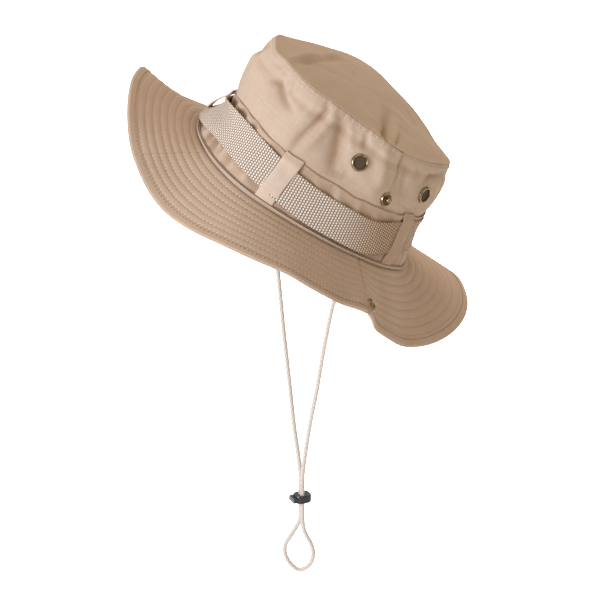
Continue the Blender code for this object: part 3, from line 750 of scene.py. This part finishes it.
def braid_material():
    """Undyed cotton, darker in the grooves between its strands as painted shade."""
    n = Nodes("cord_braid")
    groove = n.node("Attribute", {"attribute_name": "groove"}).outputs["Fac"]
    fibres = n.noise(2200.0, 3.0, 0.6)
    deep = n.mix(fibres, (0.26, 0.165, 0.10), (0.37, 0.25, 0.17))
    light = n.mix(fibres, (0.70, 0.61, 0.51), (0.60, 0.50, 0.41))
    # Painted shade in the grooves between the strands
    colour = n.mix(n.span(groove, 0.15, 0.75), deep, light)
    return n.finish(colour, fibres, 0.35, 0.0002, Roughness=0.8, Sheen_Weight=0.3,
                    Subsurface_Weight=0.12, Subsurface_Radius=(0.002, 0.0015, 0.001),
                    Subsurface_Scale=1.0)


def plastic_material():
    """Glossy black moulding with light scuffs."""
    n = Nodes("lock_plastic")
    scuff = n.span(n.noise(260.0, 6.0, 0.7), 0.5, 0.75)
    rough = n.span(n.noise(500.0, 4.0), 0.3, 0.7, 0.16, 0.30)
    colour = n.mix(n.mul(scuff, 0.4), (0.012, 0.012, 0.014), (0.05, 0.048, 0.05))
    return n.finish(colour, n.noise(900.0, 4.0), 0.06, 0.0002, Roughness=rough, Coat_Weight=0.35,
                    Coat_Roughness=0.12)


def steel_material():
    """Drawn wire."""
    n = Nodes("spring_steel")
    colour = n.mix(n.noise(800.0, 3.0), (0.42, 0.42, 0.43), (0.62, 0.62, 0.62))
    return n.finish(colour, n.noise(2000.0, 2.0), 0.15, 0.0001, Roughness=0.28, Metallic=1.0)


crown_cotton = cotton("crown_cotton", (0.61, 0.45, 0.325), (0.49, 0.345, 0.235), ripstop=0.22)
top_cotton = cotton("top_cotton", (0.60, 0.425, 0.290), (0.50, 0.345, 0.225), ripstop=0.16)
brim_cotton = cotton("brim_cotton", (0.585, 0.405, 0.278), (0.485, 0.332, 0.224), twill=True)
lining_cotton = cotton("lining_cotton", (0.55, 0.43, 0.32), (0.44, 0.33, 0.24))
# The loops' cloth is lighter than the crown's as painted light on the front loops, and rear darkens
# it toward the back as painted shade
loop_cotton = cotton("loop_cotton", (0.70, 0.54, 0.405), (0.58, 0.43, 0.31), ripstop=0.16,
                     rear=(0.74, 0.66, 0.60))
webbing = webbing_material()
seam_thread = thread_material("seam_thread", (0.88, 0.74, 0.58), (0.68, 0.53, 0.40))
tonal_thread = thread_material("tonal_thread", (0.74, 0.58, 0.45), (0.56, 0.42, 0.31))
# The brim's thread darkens toward the back as painted shade
brim_thread = thread_material(
    "brim_thread", (0.88, 0.74, 0.58), (0.68, 0.53, 0.40), rear=(0.44, 0.31, 0.215))
dark_thread = thread_material("dark_thread", (0.33, 0.22, 0.14), (0.22, 0.14, 0.09))
brass = brass_material()
gauze = gauze_material()
braid = braid_material()
plastic = plastic_material()
steel = steel_material()


# ---------------- crown

WALL_LOW = -0.0036            # the wall reaches this far below the seam
SEAM_LOW = 0.0012             # the band and the loops are sewn in this far above it
ROUND = 0.093                 # the wall's mean radius, which turns degrees into metres of cloth
BAND_CLOTH_LENGTH = 0.036     # the band's and the loops' cloth, from the seam up


def ring_turns(count):
    """count turns evenly round the hat, in degrees."""
    return np.linspace(0, 360, count + 1)[:-1]


def cloth_lengths(turns):
    """The lengths round the crown at these turns, with the first one again at the end."""
    return np.radians(np.append(turns, 360)) * ROUND


def wall_panel(name, start, end, out, node):
    """One of the crown's two side panels."""
    columns = np.linspace(start, end, int((end - start) / 0.6) + 1)
    rows = np.concatenate((np.linspace(WALL_LOW, 0.030, 12), np.linspace(0.0312, CROWN_HEIGHT, 44)))
    turn, height = np.meshgrid(columns, rows)
    points = wall(turn, height, out(turn, height))
    uv = uv_grid(rows, np.radians(columns) * ROUND)
    obj = grid(name, points, uv, crown_cotton)
    mark_folds(obj, wall_folds(turn, height))
    thicken(obj, 0.0006)
    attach(obj, "hat")
    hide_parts(node)


def side_step(turn, height):
    """The front panel laps over the rear one at each side seam, and its edge is turned under."""
    from_seam = np.minimum(np.abs(turn - 90), np.abs(turn + 90))
    return CLOTH + 0.0009 * ease(-from_seam, -9.0, -0.6) * ease(height, 0.036, 0.05)


def make_crown():
    wall_panel("crown_front", -90.4, 90.4, side_step, "crown_side_front")
    wall_panel("crown_rear", 89.4, 270.6, lambda t, h: np.full(t.shape, CLOTH - 0.0004),
               "crown_side_rear")
    make_top()


def make_top():
    """The crown's top panel, and the stitches under its edge."""
    turns = ring_turns(360)
    reaches = np.concatenate((np.linspace(1.0, 0.93, 8), np.linspace(0.91, 0.03, 40)))
    turn, reach = np.meshgrid(turns, reaches)
    edge = wall(turn, np.full(turn.shape, CROWN_HEIGHT), CLOTH - 0.0002)
    middle = np.array((TOP_SHIFT[0], TOP_SHIFT[1], CROWN_HEIGHT + TOP_DOME))
    share = reach[..., None]
    points = middle * (1 - share) + edge * share
    dome = TOP_DOME * ((1 - reach ** 2) - (1 - reach))
    folds = -fold_depth(points[..., 0] / MM, points[..., 1] / MM, TOP_FOLDS)
    soft = waves(points, 0.045, 21) * 0.9 + waves(points, 0.016, 22) * 0.22
    roll = 0.9 * np.exp(-((1 - reach) / 0.035) ** 2)
    fade = ease(-reach, -1.0, -0.86)
    points[..., 2] += dome + ((folds + soft) * fade + roll * 0.6) * MM
    pattern = np.stack((points[..., 0], points[..., 1]), -1)
    pattern = np.concatenate((pattern, pattern[:, :1]), 1)
    top = grid("crown_top", points, pattern, top_cotton, wrap=True)
    mark_folds(top, -folds)
    close_middle(top)
    thicken(top, 0.0006)
    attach(top, "hat")
    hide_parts("crown_top_panel")

    fine = np.linspace(0, 360, 721)
    path = wall(fine, CROWN_HEIGHT - 0.0024, CLOTH + 0.0002)
    row = row_of_stitches("top_seam_stitches_0", path, outward(fine), TOP_STITCH,
                          tonal_thread, "piping_cotton", seed=40)
    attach(row, "hat")


def close_middle(obj):
    """Fill the small hole at the middle of the top panel."""
    bm = bmesh.new()
    bm.from_mesh(obj.data)
    upright = LEAN.transposed()
    ring = [e for e in bm.edges if e.is_boundary
            and ((upright @ e.verts[0].co).xy - Vector(TOP_SHIFT)).length < 0.012]
    bmesh.ops.holes_fill(bm, edges=ring, sides=0)
    for face in bm.faces:
        face.smooth = True
    bm.to_mesh(obj.data)
    bm.free()


def band_top(turn):
    """The height of the lower band's upper edge."""
    wander = waves(seam_point(turn), 0.016, 33) * 0.45
    return (curve_round(BAND_TOP, turn) + wander) * MM


def make_band():
    """The crown's lower band: slack cloth behind the webbing, with a folded upper edge."""
    columns = ring_turns(720)
    shares = np.concatenate(([0.0, 0.02], np.linspace(0.05, 0.95, 30), [0.975, 1.0]))
    turn, share = np.meshgrid(columns, shares)
    top = band_top(turn)
    height = SEAM_LOW * (1 - share) + top * share
    spots = seam_point(turn) + UP * height[..., None] * 0.7
    crumple = 1.0 + 3.2 * np.exp(-(((turn + 190) % 360 - 180) / 36) ** 2)
    slack = (waves(spots * (1, 1, 0.45), 0.014, 31) * 0.8 + waves(spots, 0.007, 32) * 0.3) * crumple
    room = 1.3 + curve_round(WEB_LOW_OFF, turn) * 0.8
    slack = np.minimum(slack, room) * np.sin(math.pi * np.clip(share, 0, 1)) ** 0.6
    lip = 0.35 * np.exp(-((1 - share) / 0.05) ** 2)
    out = CLOTH + (0.75 + np.maximum(slack, -0.55) + lip) * MM
    points = wall(turn, height, out)
    uv = uv_grid(shares * BAND_CLOTH_LENGTH, cloth_lengths(columns))
    obj = grid("lower_band_cloth", points, uv, crown_cotton, wrap=True)
    # Painted shade on the band, deepest where its cloth lies in with little slack
    mark_folds(obj, 1.9 - slack)
    thicken(obj, 0.0007)
    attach(obj, "hat")
    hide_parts("lower_band")


def webbing_out(turn, share):
    """How far the webbing's inner face stands off the wall; share is 0 at its lower edge."""
    top = curve_round(WEB_TOP_OFF, turn)
    low = curve_round(WEB_LOW_OFF, turn)
    return (2.4 + low * (1 - share) + top * share) * MM


def make_webbing():
    """The webbing band, with a low rib for each raised thread."""
    columns = ring_turns(900)
    half = WEBBING_WIDTH / 2
    across = np.linspace(-half, half, WEBBING_THREADS * 5 + 1)
    turn, place = np.meshgrid(columns, across)
    middle = curve_round(WEB_MIDDLE, turn) * MM
    share = (place + half) / WEBBING_WIDTH
    height = middle + place
    rib = 0.12 * np.abs(np.sin(math.pi * share * WEBBING_THREADS)) ** 0.7
    edge = -0.25 * np.exp(-((half - np.abs(place)) / 0.0006) ** 2)
    wave = waves(seam_point(turn), 0.06, 51) * 0.25
    out = webbing_out(turn, share) + (1.5 + rib + edge + wave) * MM
    points = wall(turn, height, out, puff=0.25)
    uv = uv_grid(across + half, np.radians(np.append(columns, 360)) * (ROUND + 0.002))
    obj = grid("webbing_strap", points, uv, webbing, wrap=True)
    thicken(obj, 0.0014)
    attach(obj, "hat")
    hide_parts("webbing_band")


def make_loops():
    """Cloth loops over the webbing, tucked in at the band's upper edge and into the brim seam."""
    rng = np.random.default_rng(8)
    for index, turn_deg in enumerate(LOOP_TURNS):
        lean = rng.uniform(-1.5, 1.5) + 2.0
        across = np.concatenate(([-1.0, -0.97], np.linspace(-0.9, 0.9, 13), [0.97, 1.0]))
        ups = np.linspace(0, 1, 49)
        side, up = np.meshgrid(across, ups)
        width = LOOP_HALF_DEG * (1 + 0.10 * up - 0.06 * np.sin(math.pi * up))
        turn = turn_deg + side * width + lean * (up - 0.5)
        top = band_top(turn) + 0.0016
        height = SEAM_LOW * (1 - up) + top * up
        web_low = curve_round(WEB_MIDDLE, turn) * MM - WEBBING_WIDTH / 2
        web_share = np.clip((height - web_low) / WEBBING_WIDTH, 0, 1)
        over = webbing_out(turn, web_share) + 0.0026
        rest = CLOTH + 0.0020
        hold = ease(up, 0.0, 0.30) * ease(-up, -1.0, -0.86)
        loose = LOOP_SLACK[index] * MM * np.sin(math.pi * up) ** 2
        out = rest * (1 - hold) + over * hold + loose
        edge = -0.35 * ease(np.abs(side), 0.85, 1.0)
        hem = 0.18 * np.exp(-((np.abs(side) - 0.78) / 0.09) ** 2)
        soft = waves(seam_point(turn) + UP * height[..., None], 0.013, 60 + index) * 0.25
        out = out + (edge - hem + soft * np.sin(math.pi * up)) * MM
        points = wall(turn, height, out, puff=0.3)
        name = f"belt_loop_cloth_{index + 1}"
        uv = uv_grid(ups * BAND_CLOTH_LENGTH, (across + 1) * 0.0068)
        obj = grid(name, points, uv, loop_cotton)
        thicken(obj, 0.0011)
        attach(obj, "hat")
        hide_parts(f"belt_loop_{index + 1}")


def tube(name, path, radius, material, slot, closed=False, sides=10, local=True, lumps=0.0,
         seed=0, about=UP):
    """A tube along points, in the hat's frame or, where local is False, in the row's. The path
    never runs along the direction about."""
    if closed:
        tangent = np.roll(path, -1, 0) - np.roll(path, 1, 0)
    else:
        tangent = np.gradient(path, axis=0)
    tangent /= np.linalg.norm(tangent, axis=-1, keepdims=True)
    side = np.cross(tangent, about)
    side /= np.linalg.norm(side, axis=-1, keepdims=True)
    up = np.cross(side, tangent)
    angle = np.linspace(0, math.tau, sides, endpoint=False)
    r = radius * (1 + lumps * waves(path, 0.006, seed))[:, None, None]
    cosine, sine = np.cos(angle)[None, :, None], np.sin(angle)[None, :, None]
    ring = side[:, None] * cosine + up[:, None] * sine
    points = path[:, None] + ring * r
    steps = np.concatenate(([0], np.cumsum(np.linalg.norm(np.diff(path, axis=0), axis=-1))))
    rows = np.append(steps, steps[-1] + 0.001)
    uv = uv_grid(rows, np.linspace(0, math.tau * radius, sides + 1))
    return grid(name, points, uv, material, wrap=True, tube=closed, local=local,
                cap=not closed)


def make_welt():
    """The rolled welt in the seam between crown and brim, and a thin dark tube above it as a
    painted shadow line.
    """
    turn = ring_turns(540)
    path = wall(turn, 0.0, 0.0030, puff=0.3)
    obj = tube("seam_welt", path, 0.0007, crown_cotton, "piping_cotton", closed=True, lumps=0.06,
               seed=3)
    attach(obj, "hat")
    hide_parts("base_welt")
    # A thin dark tube above the welt, a painted shadow line
    path = wall(turn, SEAM_LOW, 0.0022, puff=0.3)
    shadow_line = tube("seam_welt_shadow_line", path, 0.00035, dark_thread, "piping_cotton", closed=True,
                  lumps=0.08, seed=4)
    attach(shadow_line, "hat")


def make_sweatband():
    """The sweatband inside the opening, hemmed at its top and sewn along both edges."""
    columns = ring_turns(480)
    rows = np.linspace(SWEATBAND_LOW, SWEATBAND_TOP, 24)
    turn, height = np.meshgrid(columns, rows)
    soft = waves(seam_point(turn) + UP * height[..., None], 0.03, 71) * 0.25
    hem = 0.35 * np.exp(-((rows[:, None] - 0.0255) / 0.0012) ** 2)
    points = wall(turn, height, (-0.9 + np.minimum(soft, 0.2) + hem * 0.5) * MM, puff=0.0)
    uv = uv_grid(rows, cloth_lengths(columns))
    obj = grid("sweatband_cloth", points, uv, lining_cotton, wrap=True)
    thicken(obj, 0.0008)
    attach(obj, "hat")
    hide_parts("sweatband")
    fine = np.linspace(0, 360, 721)
    for index, height in enumerate((0.0, 0.0262)):
        path = wall(fine, height, -0.0017, puff=0.0)
        row = row_of_stitches(f"sweatband_stitches_{index}", path, -outward(fine),
                              SWEATBAND_STITCH, seam_thread, "sweatband_cotton", seed=80 + index)
        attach(row, "hat")


# ---------------- brim


def bend_with_brim(obj):
    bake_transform(obj)


def side_seam(turn, side_turn):
    """A narrow valley along the brim's side seam, with the cloth raised on both sides of it."""
    away = (turn - side_turn + 180) % 360 - 180
    return (0.45 * np.exp(-(away / 5.0) ** 2) - 0.95 * np.exp(-(away / 0.6) ** 2)) * MM


def brim_face(turn, reach, face):
    """A point on the brim's upper face (face 1) or lower face (face -1), quilted."""
    puff = quilt(reach, turn)
    seam = side_seam(turn, 90) + side_seam(turn, 270)
    edge = ease(reach, 0.985, 1.0) * BRIM_HALF
    return brim(turn, reach, face * (BRIM_HALF + puff + seam - edge))


def make_brim():
    """The brim's quilted cloth, one closed piece each side, and its stitches."""
    for side, (start, end) in {"left": (0.0, 180.0), "right": (180.0, 360.0)}.items():
        columns = np.linspace(start, end, 421)
        down = np.linspace(0.0, 0.998, 118)
        turn, reach = np.meshgrid(columns, down)
        upper = brim_face(turn, reach, 1)
        lower = brim_face(turn, reach, -1)[::-1]
        tip = brim(columns[None], np.full((1, len(columns)), 1.006), 0.0)
        points = np.concatenate((upper, tip, lower))[:, ::-1]
        out = down * BRIM_WIDTH
        lengths = np.concatenate((out, [BRIM_WIDTH], 2 * BRIM_WIDTH - out[::-1]))
        uv = uv_grid(np.append(lengths, 2 * BRIM_WIDTH), np.radians(columns[::-1]) * 0.12)
        obj = grid(f"brim_cloth_{side}", points, uv, brim_cotton, tube=True,
                   cap=True)
        nodes = [f"brim_{layer}_{part}"
                 for layer in ("upper", "lower") for part in ("centre", side)]
        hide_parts(*nodes)
        bend_with_brim(obj)
        make_brim_stitches(side, start, end)


def make_brim_stitches(side, start, end):
    """Rows of quilting on both faces of one side of the brim, and the edge binding's darker row."""
    fine = np.linspace(start + 0.15, end - 0.15, 900)
    rows = [QUILT * k / BRIM_WIDTH for k in range(1, QUILT_ROWS + 1)]
    rows.append(HEM / BRIM_WIDTH + 0.006)
    up = brim_middle(fine)[2]
    for face, label in ((1, "upper"), (-1, "lower")):
        for index, reach in enumerate(rows):
            path = brim_face(fine, np.full(fine.shape, reach), face)
            thread = dark_thread if index == QUILT_ROWS else brim_thread
            row = row_of_stitches(
                f"brim_stitches_{side}_{label}_{index + 1}", path, up * face, BRIM_STITCH,
                thread, "brim_cotton", seed=100 + index * 4 + face)
            bend_with_brim(row)


# ---------------- vents, studs and snaps

def wall_frame(turn_deg, height, out):
    """A frame on the crown's wall, its Z straight out of the cloth."""
    turn = np.array([turn_deg, turn_deg - 1.5, turn_deg + 1.5, turn_deg, turn_deg])
    high = np.array([height, height, height, height - 0.002, height + 0.002])
    p = wall(turn, high, out)
    normal = np.cross(p[2] - p[1], p[4] - p[3])
    return facing(p[0], normal)


def woven_disc(name, radius, pitch, wire, material):
    """A round of woven wire cloth, each wire passing over one and under the next."""
    count = int(radius / pitch)
    verts, faces = [], []
    sides = 4
    for way in (0, 1):
        for k in range(-count, count + 1):
            off = k * pitch
            half = math.sqrt(max(radius ** 2 - off ** 2, 1e-9))
            steps = max(3, int(half / pitch) * 4)
            base = len(verts)
            for s in range(steps + 1):
                along = -half + 2 * half * s / steps
                rise = wire * 0.5 * math.cos(math.pi * (along / pitch + k + way))
                for c in range(sides):
                    turn = math.tau * (c + 0.5) / sides
                    a = off + wire / 2 * math.cos(turn)
                    z = rise + wire / 2 * math.sin(turn)
                    verts.append((along, a, z) if way else (a, along, z))
            for s in range(steps):
                for c in range(sides):
                    n = (c + 1) % sides
                    quad = (base + s * sides + c, base + s * sides + n,
                            base + (s + 1) * sides + n, base + (s + 1) * sides + c)
                    faces.append(quad if way else quad[::-1])
            ends = (tuple(base + c for c in range(sides - 1, -1, -1)),
                    tuple(base + steps * sides + c for c in range(sides)))
            faces += list(ends) if way else [e[::-1] for e in ends]
    return new_object(name, smooth_mesh(name, verts, faces), material)


def make_vents():
    """Each vent: an eyelet, a washer behind it, and wire cloth between them."""
    outer, hole = 0.0062, 0.0046
    ring = [(hole, 0.0002), (hole, 0.0009), (hole + 0.0002, 0.00125), (hole + 0.0006, 0.0015),
            (hole + 0.0010, 0.0014), (outer - 0.0002, 0.0009), (outer, 0.0004), (outer, 0.0000),
            (hole + 0.0004, -0.0001), (hole + 0.0004, -0.0016), (hole, -0.0016)]
    washer = [(hole - 0.0001, 0.0), (outer + 0.0004, 0.0), (outer + 0.0006, -0.0003),
              (outer + 0.0003, -0.0006), (hole + 0.0006, -0.0009), (hole, -0.0007)]
    for name, turn in VENT_TURNS.items():
        place = wall_frame(turn, VENT_HEIGHT, CLOTH + 0.0001)
        made = (
            (turned(f"vent_ring_{name}", ring, brass), "vent_eyelet", 0.0),
            (turned(f"vent_back_{name}", washer, brass), "vent_washer", -0.0010),
            (woven_disc(f"vent_gauze_{name}", hole + 0.0002, 0.00052, 0.00026, gauze),
             "vent_mesh", 0.0003),
        )
        for obj, node, shift in made:
            obj.matrix_world = place @ Matrix.Translation((0, 0, shift))
            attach(obj, "hat")
            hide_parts(f"{node}_{name}")


def make_studs():
    """The crown's half of each snap: a stud, and its backing inside the crown."""
    radius = 0.0050
    stud = [(0.0, 0.0041), (0.0008, 0.0040), (0.0014, 0.0036), (0.0018, 0.0029),
            (0.0017, 0.0023), (0.0013, 0.0019), (0.0013, 0.0008), (0.0017, 0.0004),
            (0.0030, 0.0003), (0.0036, 0.0006), (0.0041, 0.0012), (0.0046, 0.0013),
            (0.0049, 0.0008), (radius, 0.0002), (radius, 0.0), (0.0, 0.0)]
    back = [(0.0, 0.0), (radius, 0.0), (radius, -0.0003), (0.0044, -0.0007), (0.0016, -0.0008),
            (0.0010, -0.0014), (0.0, -0.0015)]
    for side, turn in SIDES.items():
        place = wall_frame(turn, STUD_HEIGHT, CLOTH + 0.0008)
        for name, profile, node, shift in (
            ("stud", stud, "snap_stud", 0.0),
            ("stud_back", back, "stud_backing", -0.0018),
        ):
            obj = turned(f"{name}_{side}", profile, brass)
            obj.matrix_world = place @ Matrix.Translation((0, 0, shift))
            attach(obj, "hat")
            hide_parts(f"{node}_{side}")


def make_sockets():
    """The brim's half of each snap: a socket on its upper side and a plain cap under it."""
    socket = [(0.0021, 0.0004), (0.0021, 0.0012), (0.0025, 0.0019), (0.0031, 0.0021),
              (0.0038, 0.0019), (0.0045, 0.0012), (0.0050, 0.0004), (0.0050, 0.0), (0.0021, 0.0)]
    post = [(0.0, 0.0008), (0.0016, 0.0008), (0.0020, 0.0002), (0.0020, 0.0), (0.0, 0.0)]
    cap = [(0.0, 0.0), (0.0052, 0.0), (0.0054, -0.0004), (0.0051, -0.0010), (0.0040, -0.0015),
           (0.0020, -0.0018), (0.0, -0.0019)]
    for side, turn_deg in SOCKET_TURNS.items():
        turn = np.array([turn_deg - 1, turn_deg + 1, turn_deg, turn_deg, turn_deg])
        reach = np.array([SOCKET_REACH] * 3 + [SOCKET_REACH - 0.02, SOCKET_REACH + 0.02])
        p = brim(turn, reach, 0.0)
        normal = np.cross(p[4] - p[3], p[1] - p[0])
        place = facing(p[2], normal)
        for name, profile, node, shift in (
            ("socket", socket, "snap_socket", 0.0015),
            ("socket_post", post, None, 0.0015),
            ("socket_cap", cap, "snap_cap", -0.0015),
        ):
            obj = turned(f"{name}_{side}", profile, brass)
            obj.matrix_world = place @ Matrix.Translation((0, 0, shift))
            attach(obj, f"brim_{side}")
            if node:
                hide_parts(f"{node}_{side}")


# ---------------- chin cord and lock

CURVE_STEPS = 20              # steps between two points of the route while it is smoothed


def smooth_path(route, count):
    """count points, evenly spaced, along a smooth curve through the route's points."""
    ends = [route[0] * 2 - route[1], *route, route[-1] * 2 - route[-2]]
    fine = []
    for i in range(len(route) - 1):
        a, b, c, d = ends[i:i + 4]
        fine += [between(a, b, c, d, k / CURVE_STEPS) for k in range(CURVE_STEPS)]
    fine.append(route[-1])
    fine = np.array(fine)
    travelled = np.concatenate(([0], np.cumsum(np.linalg.norm(np.diff(fine, axis=0), axis=-1))))
    want = np.linspace(0, travelled[-1], count)
    return np.stack([np.interp(want, travelled, fine[:, k]) for k in range(3)], -1), travelled[-1]


HANG = math.radians(ANCHOR_HANG_DEG)
HANG_WAY = np.array((0, math.sin(HANG), -math.cos(HANG)))
TAB_SIDES = (("left", 1), ("right", -1))


def cord_ends():
    """The cord's two points at each tab, the level direction from the right tab to the left one,
    and the point midway between them, at height 0."""
    ends = {}
    for side, sign in TAB_SIDES:
        start = np.array((sign * ANCHOR_X, 0, ANCHOR_Z))
        ends[side] = (LEAN_ARRAY @ start, LEAN_ARRAY @ (start + HANG_WAY * CORD_LEAD))
    across = (ends["left"][0] - ends["right"][0]) * (1, 1, 0)
    across /= np.linalg.norm(across)
    return ends, across, (ends["left"][0] + ends["right"][0]) / 2 * (1, 1, 0)


def cord_route():
    """The cord's way from the right tab through the lock, round the loop and back to the left."""
    ends, across, middle = cord_ends()
    route = [*ends["right"]]
    for reach, twist, z in CORD_ROUTE:
        t = math.radians(twist)
        turned_across = np.array((across[0] * math.cos(t) - across[1] * math.sin(t),
                                  across[0] * math.sin(t) + across[1] * math.cos(t), 0))
        route.append(middle + turned_across * reach + UP * z)
    return route + [ends["left"][1], ends["left"][0]]


BRAID_LAY = 0.0088            # the length in which a strand goes once round the cord
BRAID_STRANDS = 4             # each way


def make_cord():
    """A round braid of eight strands, four each way, that pass over and under each other."""
    route = cord_route()
    path, length = smooth_path(route, 1160)
    tangent = np.gradient(path, axis=0)
    tangent /= np.linalg.norm(tangent, axis=-1, keepdims=True)
    side = np.zeros_like(path)
    side[0] = np.cross(tangent[0], (0.3, 0.9, 0.1))
    side[0] /= np.linalg.norm(side[0])
    for k in range(1, len(path)):
        s = side[k - 1] - tangent[k] * (side[k - 1] @ tangent[k])
        side[k] = s / np.linalg.norm(s)
    up = np.cross(tangent, side)
    sides = 20
    angle = np.linspace(0, math.tau, sides, endpoint=False)
    run = np.linspace(0, length, len(path))
    a, s = np.meshgrid(angle, run)
    one = a / math.tau * BRAID_STRANDS + s / BRAID_LAY * 2
    two = a / math.tau * BRAID_STRANDS - s / BRAID_LAY * 2
    over = 0.5 + 0.5 * np.cos(math.pi * (one + two)) * np.cos(math.pi * (one - two))
    hump_one = np.abs(np.cos(math.pi * one)) ** 0.6
    hump_two = np.abs(np.cos(math.pi * two)) ** 0.6
    height = np.maximum(hump_one * (0.35 + 0.65 * over), hump_two * (1.0 - 0.65 * over))
    radius = CORD_RADIUS * (0.84 + 0.20 * height)
    ring = side[:, None] * np.cos(a)[..., None] + up[:, None] * np.sin(a)[..., None]
    points = path[:, None] + ring * radius[..., None]
    uv = uv_grid(run, np.linspace(0, math.tau * CORD_RADIUS, sides + 1))
    obj = grid("chin_cord_braid", points, uv, braid, wrap=True, local=False, cap=True)
    groove = obj.data.attributes.new("groove", "FLOAT", "POINT")
    groove.data.foreach_set("value", height.astype(np.float32).ravel())
    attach(obj, "chin_cord")
    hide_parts("chin_cord")
    coarse, _ = smooth_path(route, 240)


def make_anchors():
    """Tabs of folded tape, sewn inside the brim seam, that hold the cord's ends."""
    for side, sign in TAB_SIDES:
        bm = bmesh.new()
        bmesh.ops.create_cube(bm, size=1.0)
        bmesh.ops.subdivide_edges(bm, edges=bm.edges[:], cuts=5, use_grid_fill=True)
        for vert in bm.verts:
            x, y, z = vert.co
            pinch = 1.0 - 0.12 * math.cos(math.pi * (z + 0.5)) ** 2
            swell = 1.0 + 0.25 * math.cos(math.pi * z)
            vert.co = Vector((x * 0.0023 * swell, y * 0.0088 * pinch, z * 0.0120))
        mesh = bpy.data.meshes.new(f"cord_tab_{side}")
        bm.to_mesh(mesh)
        bm.free()
        uv = mesh.uv_layers.new(name="cloth")
        for loop in mesh.loops:
            co = mesh.vertices[loop.vertex_index].co
            uv.data[loop.index].uv = (co.y, co.z)
        mesh.shade_smooth()
        obj = new_object(f"cord_tab_{side}", mesh, lining_cotton)
        smoother = obj.modifiers.new("smooth", "SUBSURF")
        smoother.levels = smoother.render_levels = 1
        start = np.array((sign * ANCHOR_X, 0, ANCHOR_Z))
        start = start - HANG_WAY * (0.0060 + CORD_RADIUS + 0.0003)
        obj.matrix_world = (LEAN.to_4x4() @ Matrix.Translation(Vector(start))
                            @ Matrix.Rotation(HANG, 4, "X"))
        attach(obj, "hat")
        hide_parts(f"cord_anchor_{side}")


def make_spring():
    """The spring in the lock's barrel, which shortens as the button is pressed."""
    _, across, middle = cord_ends()
    press = np.array((-across[1], across[0], 0))
    origin = middle + UP * LOCK_Z
    share = np.linspace(0, 1, 73)
    angle = share * SPRING_COILS * math.tau
    along = SPRING_START + (SPRING_END - SPRING_START) * share
    path = (origin + press * along[:, None] + across * (SPRING_RADIUS * np.cos(angle))[:, None]
            + UP * (SPRING_RADIUS * np.sin(angle))[:, None])
    obj = tube("cord_lock_coil", path, SPRING_WIRE, steel, "spring_steel", sides=6, local=False,
               about=press)
    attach(obj, "cord_lock")
    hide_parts("cord_lock_spring")
    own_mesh(obj)


def finish_lock():
    """The lock's barrel and button keep their own meshes and take the plastic."""
    for name in ("cord_lock_barrel", "cord_lock_plunger"):
        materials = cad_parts[name].data.materials
        materials.clear()
        materials.append(plastic)


# ---------------- camera, floor and light

CAMERA_AZIMUTH = math.radians(58.85)
CAMERA_ELEVATION = math.radians(20.3635)
CAMERA_PLACE = (1.2242461, -0.74537588, 0.44910676)
LENS, SENSOR = 124.3, 36.0
FLOOR_LEVEL, FLOOR_HALF = -0.90, 8.0


def make_camera():
    a, e = CAMERA_AZIMUTH, CAMERA_ELEVATION
    back = Vector((math.sin(a) * math.cos(e), -math.cos(a) * math.cos(e), math.sin(e)))
    data = bpy.data.cameras.new("camera")
    data.lens = LENS
    data.sensor_width = SENSOR
    data.clip_end = 50.0
    camera = bpy.data.objects.new("camera", data)
    bpy.context.scene.collection.objects.link(camera)
    camera.location = CAMERA_PLACE
    camera.rotation_mode = "QUATERNION"
    camera.rotation_quaternion = (-back).to_track_quat("-Z", "Y")
    bpy.context.scene.camera = camera


def area_light(name, place, target, size, power, colour=(1, 1, 1), spread=180):
    """A square light at place that faces target; spread is in degrees."""
    data = bpy.data.lights.new(name, "AREA")
    data.spread = math.radians(spread)
    data.size = size
    data.energy = power
    data.color = colour
    light = bpy.data.objects.new(name, data)
    bpy.context.scene.collection.objects.link(light)
    light.location = place
    light.rotation_mode = "QUATERNION"
    way = (Vector(target) - Vector(place)).normalized()
    light.rotation_quaternion = way.to_track_quat("-Z", "Y")


def make_surroundings():
    """A plain pale floor, soft light from all round, a key light and a light on the floor."""
    floor = Nodes("floor")
    floor.finish((0.96, 0.96, 0.96, 1.0), Roughness=0.9, Specular_IOR_Level=0.1)
    mesh = bpy.data.meshes.new("floor")
    corners = [(x * FLOOR_HALF, y * FLOOR_HALF, FLOOR_LEVEL)
               for x, y in ((-1, -1), (1, -1), (1, 1), (-1, 1))]
    mesh.from_pydata(corners, [], [(0, 1, 2, 3)])
    obj = new_object("floor", mesh, floor.material)

    world = bpy.data.worlds.new("studio")
    world.use_nodes = True
    sky = world.node_tree.nodes["Background"]
    sky.inputs["Color"].default_value = (1.0, 0.935, 0.85, 1.0)
    sky.inputs["Strength"].default_value = 0.62
    bpy.context.scene.world = world
    area_light("key", (0.66, -2.24, 0.42), (0, 0, 0.02), 0.8, 46, (0.87, 1.0, 1.23))
    area_light("floor_wash", (-2.4, 1.5, 1.6), (-2.4, 1.5, FLOOR_LEVEL), 3.4, 100, spread=100)
    bpy.context.scene.view_settings.view_transform = "Standard"


make_camera()
make_spring()
make_cord()
make_crown()
make_band()
make_webbing()
make_loops()
make_welt()
make_sweatband()
make_brim()
make_vents()
make_studs()
make_sockets()
make_anchors()
finish_lock()
make_surroundings()
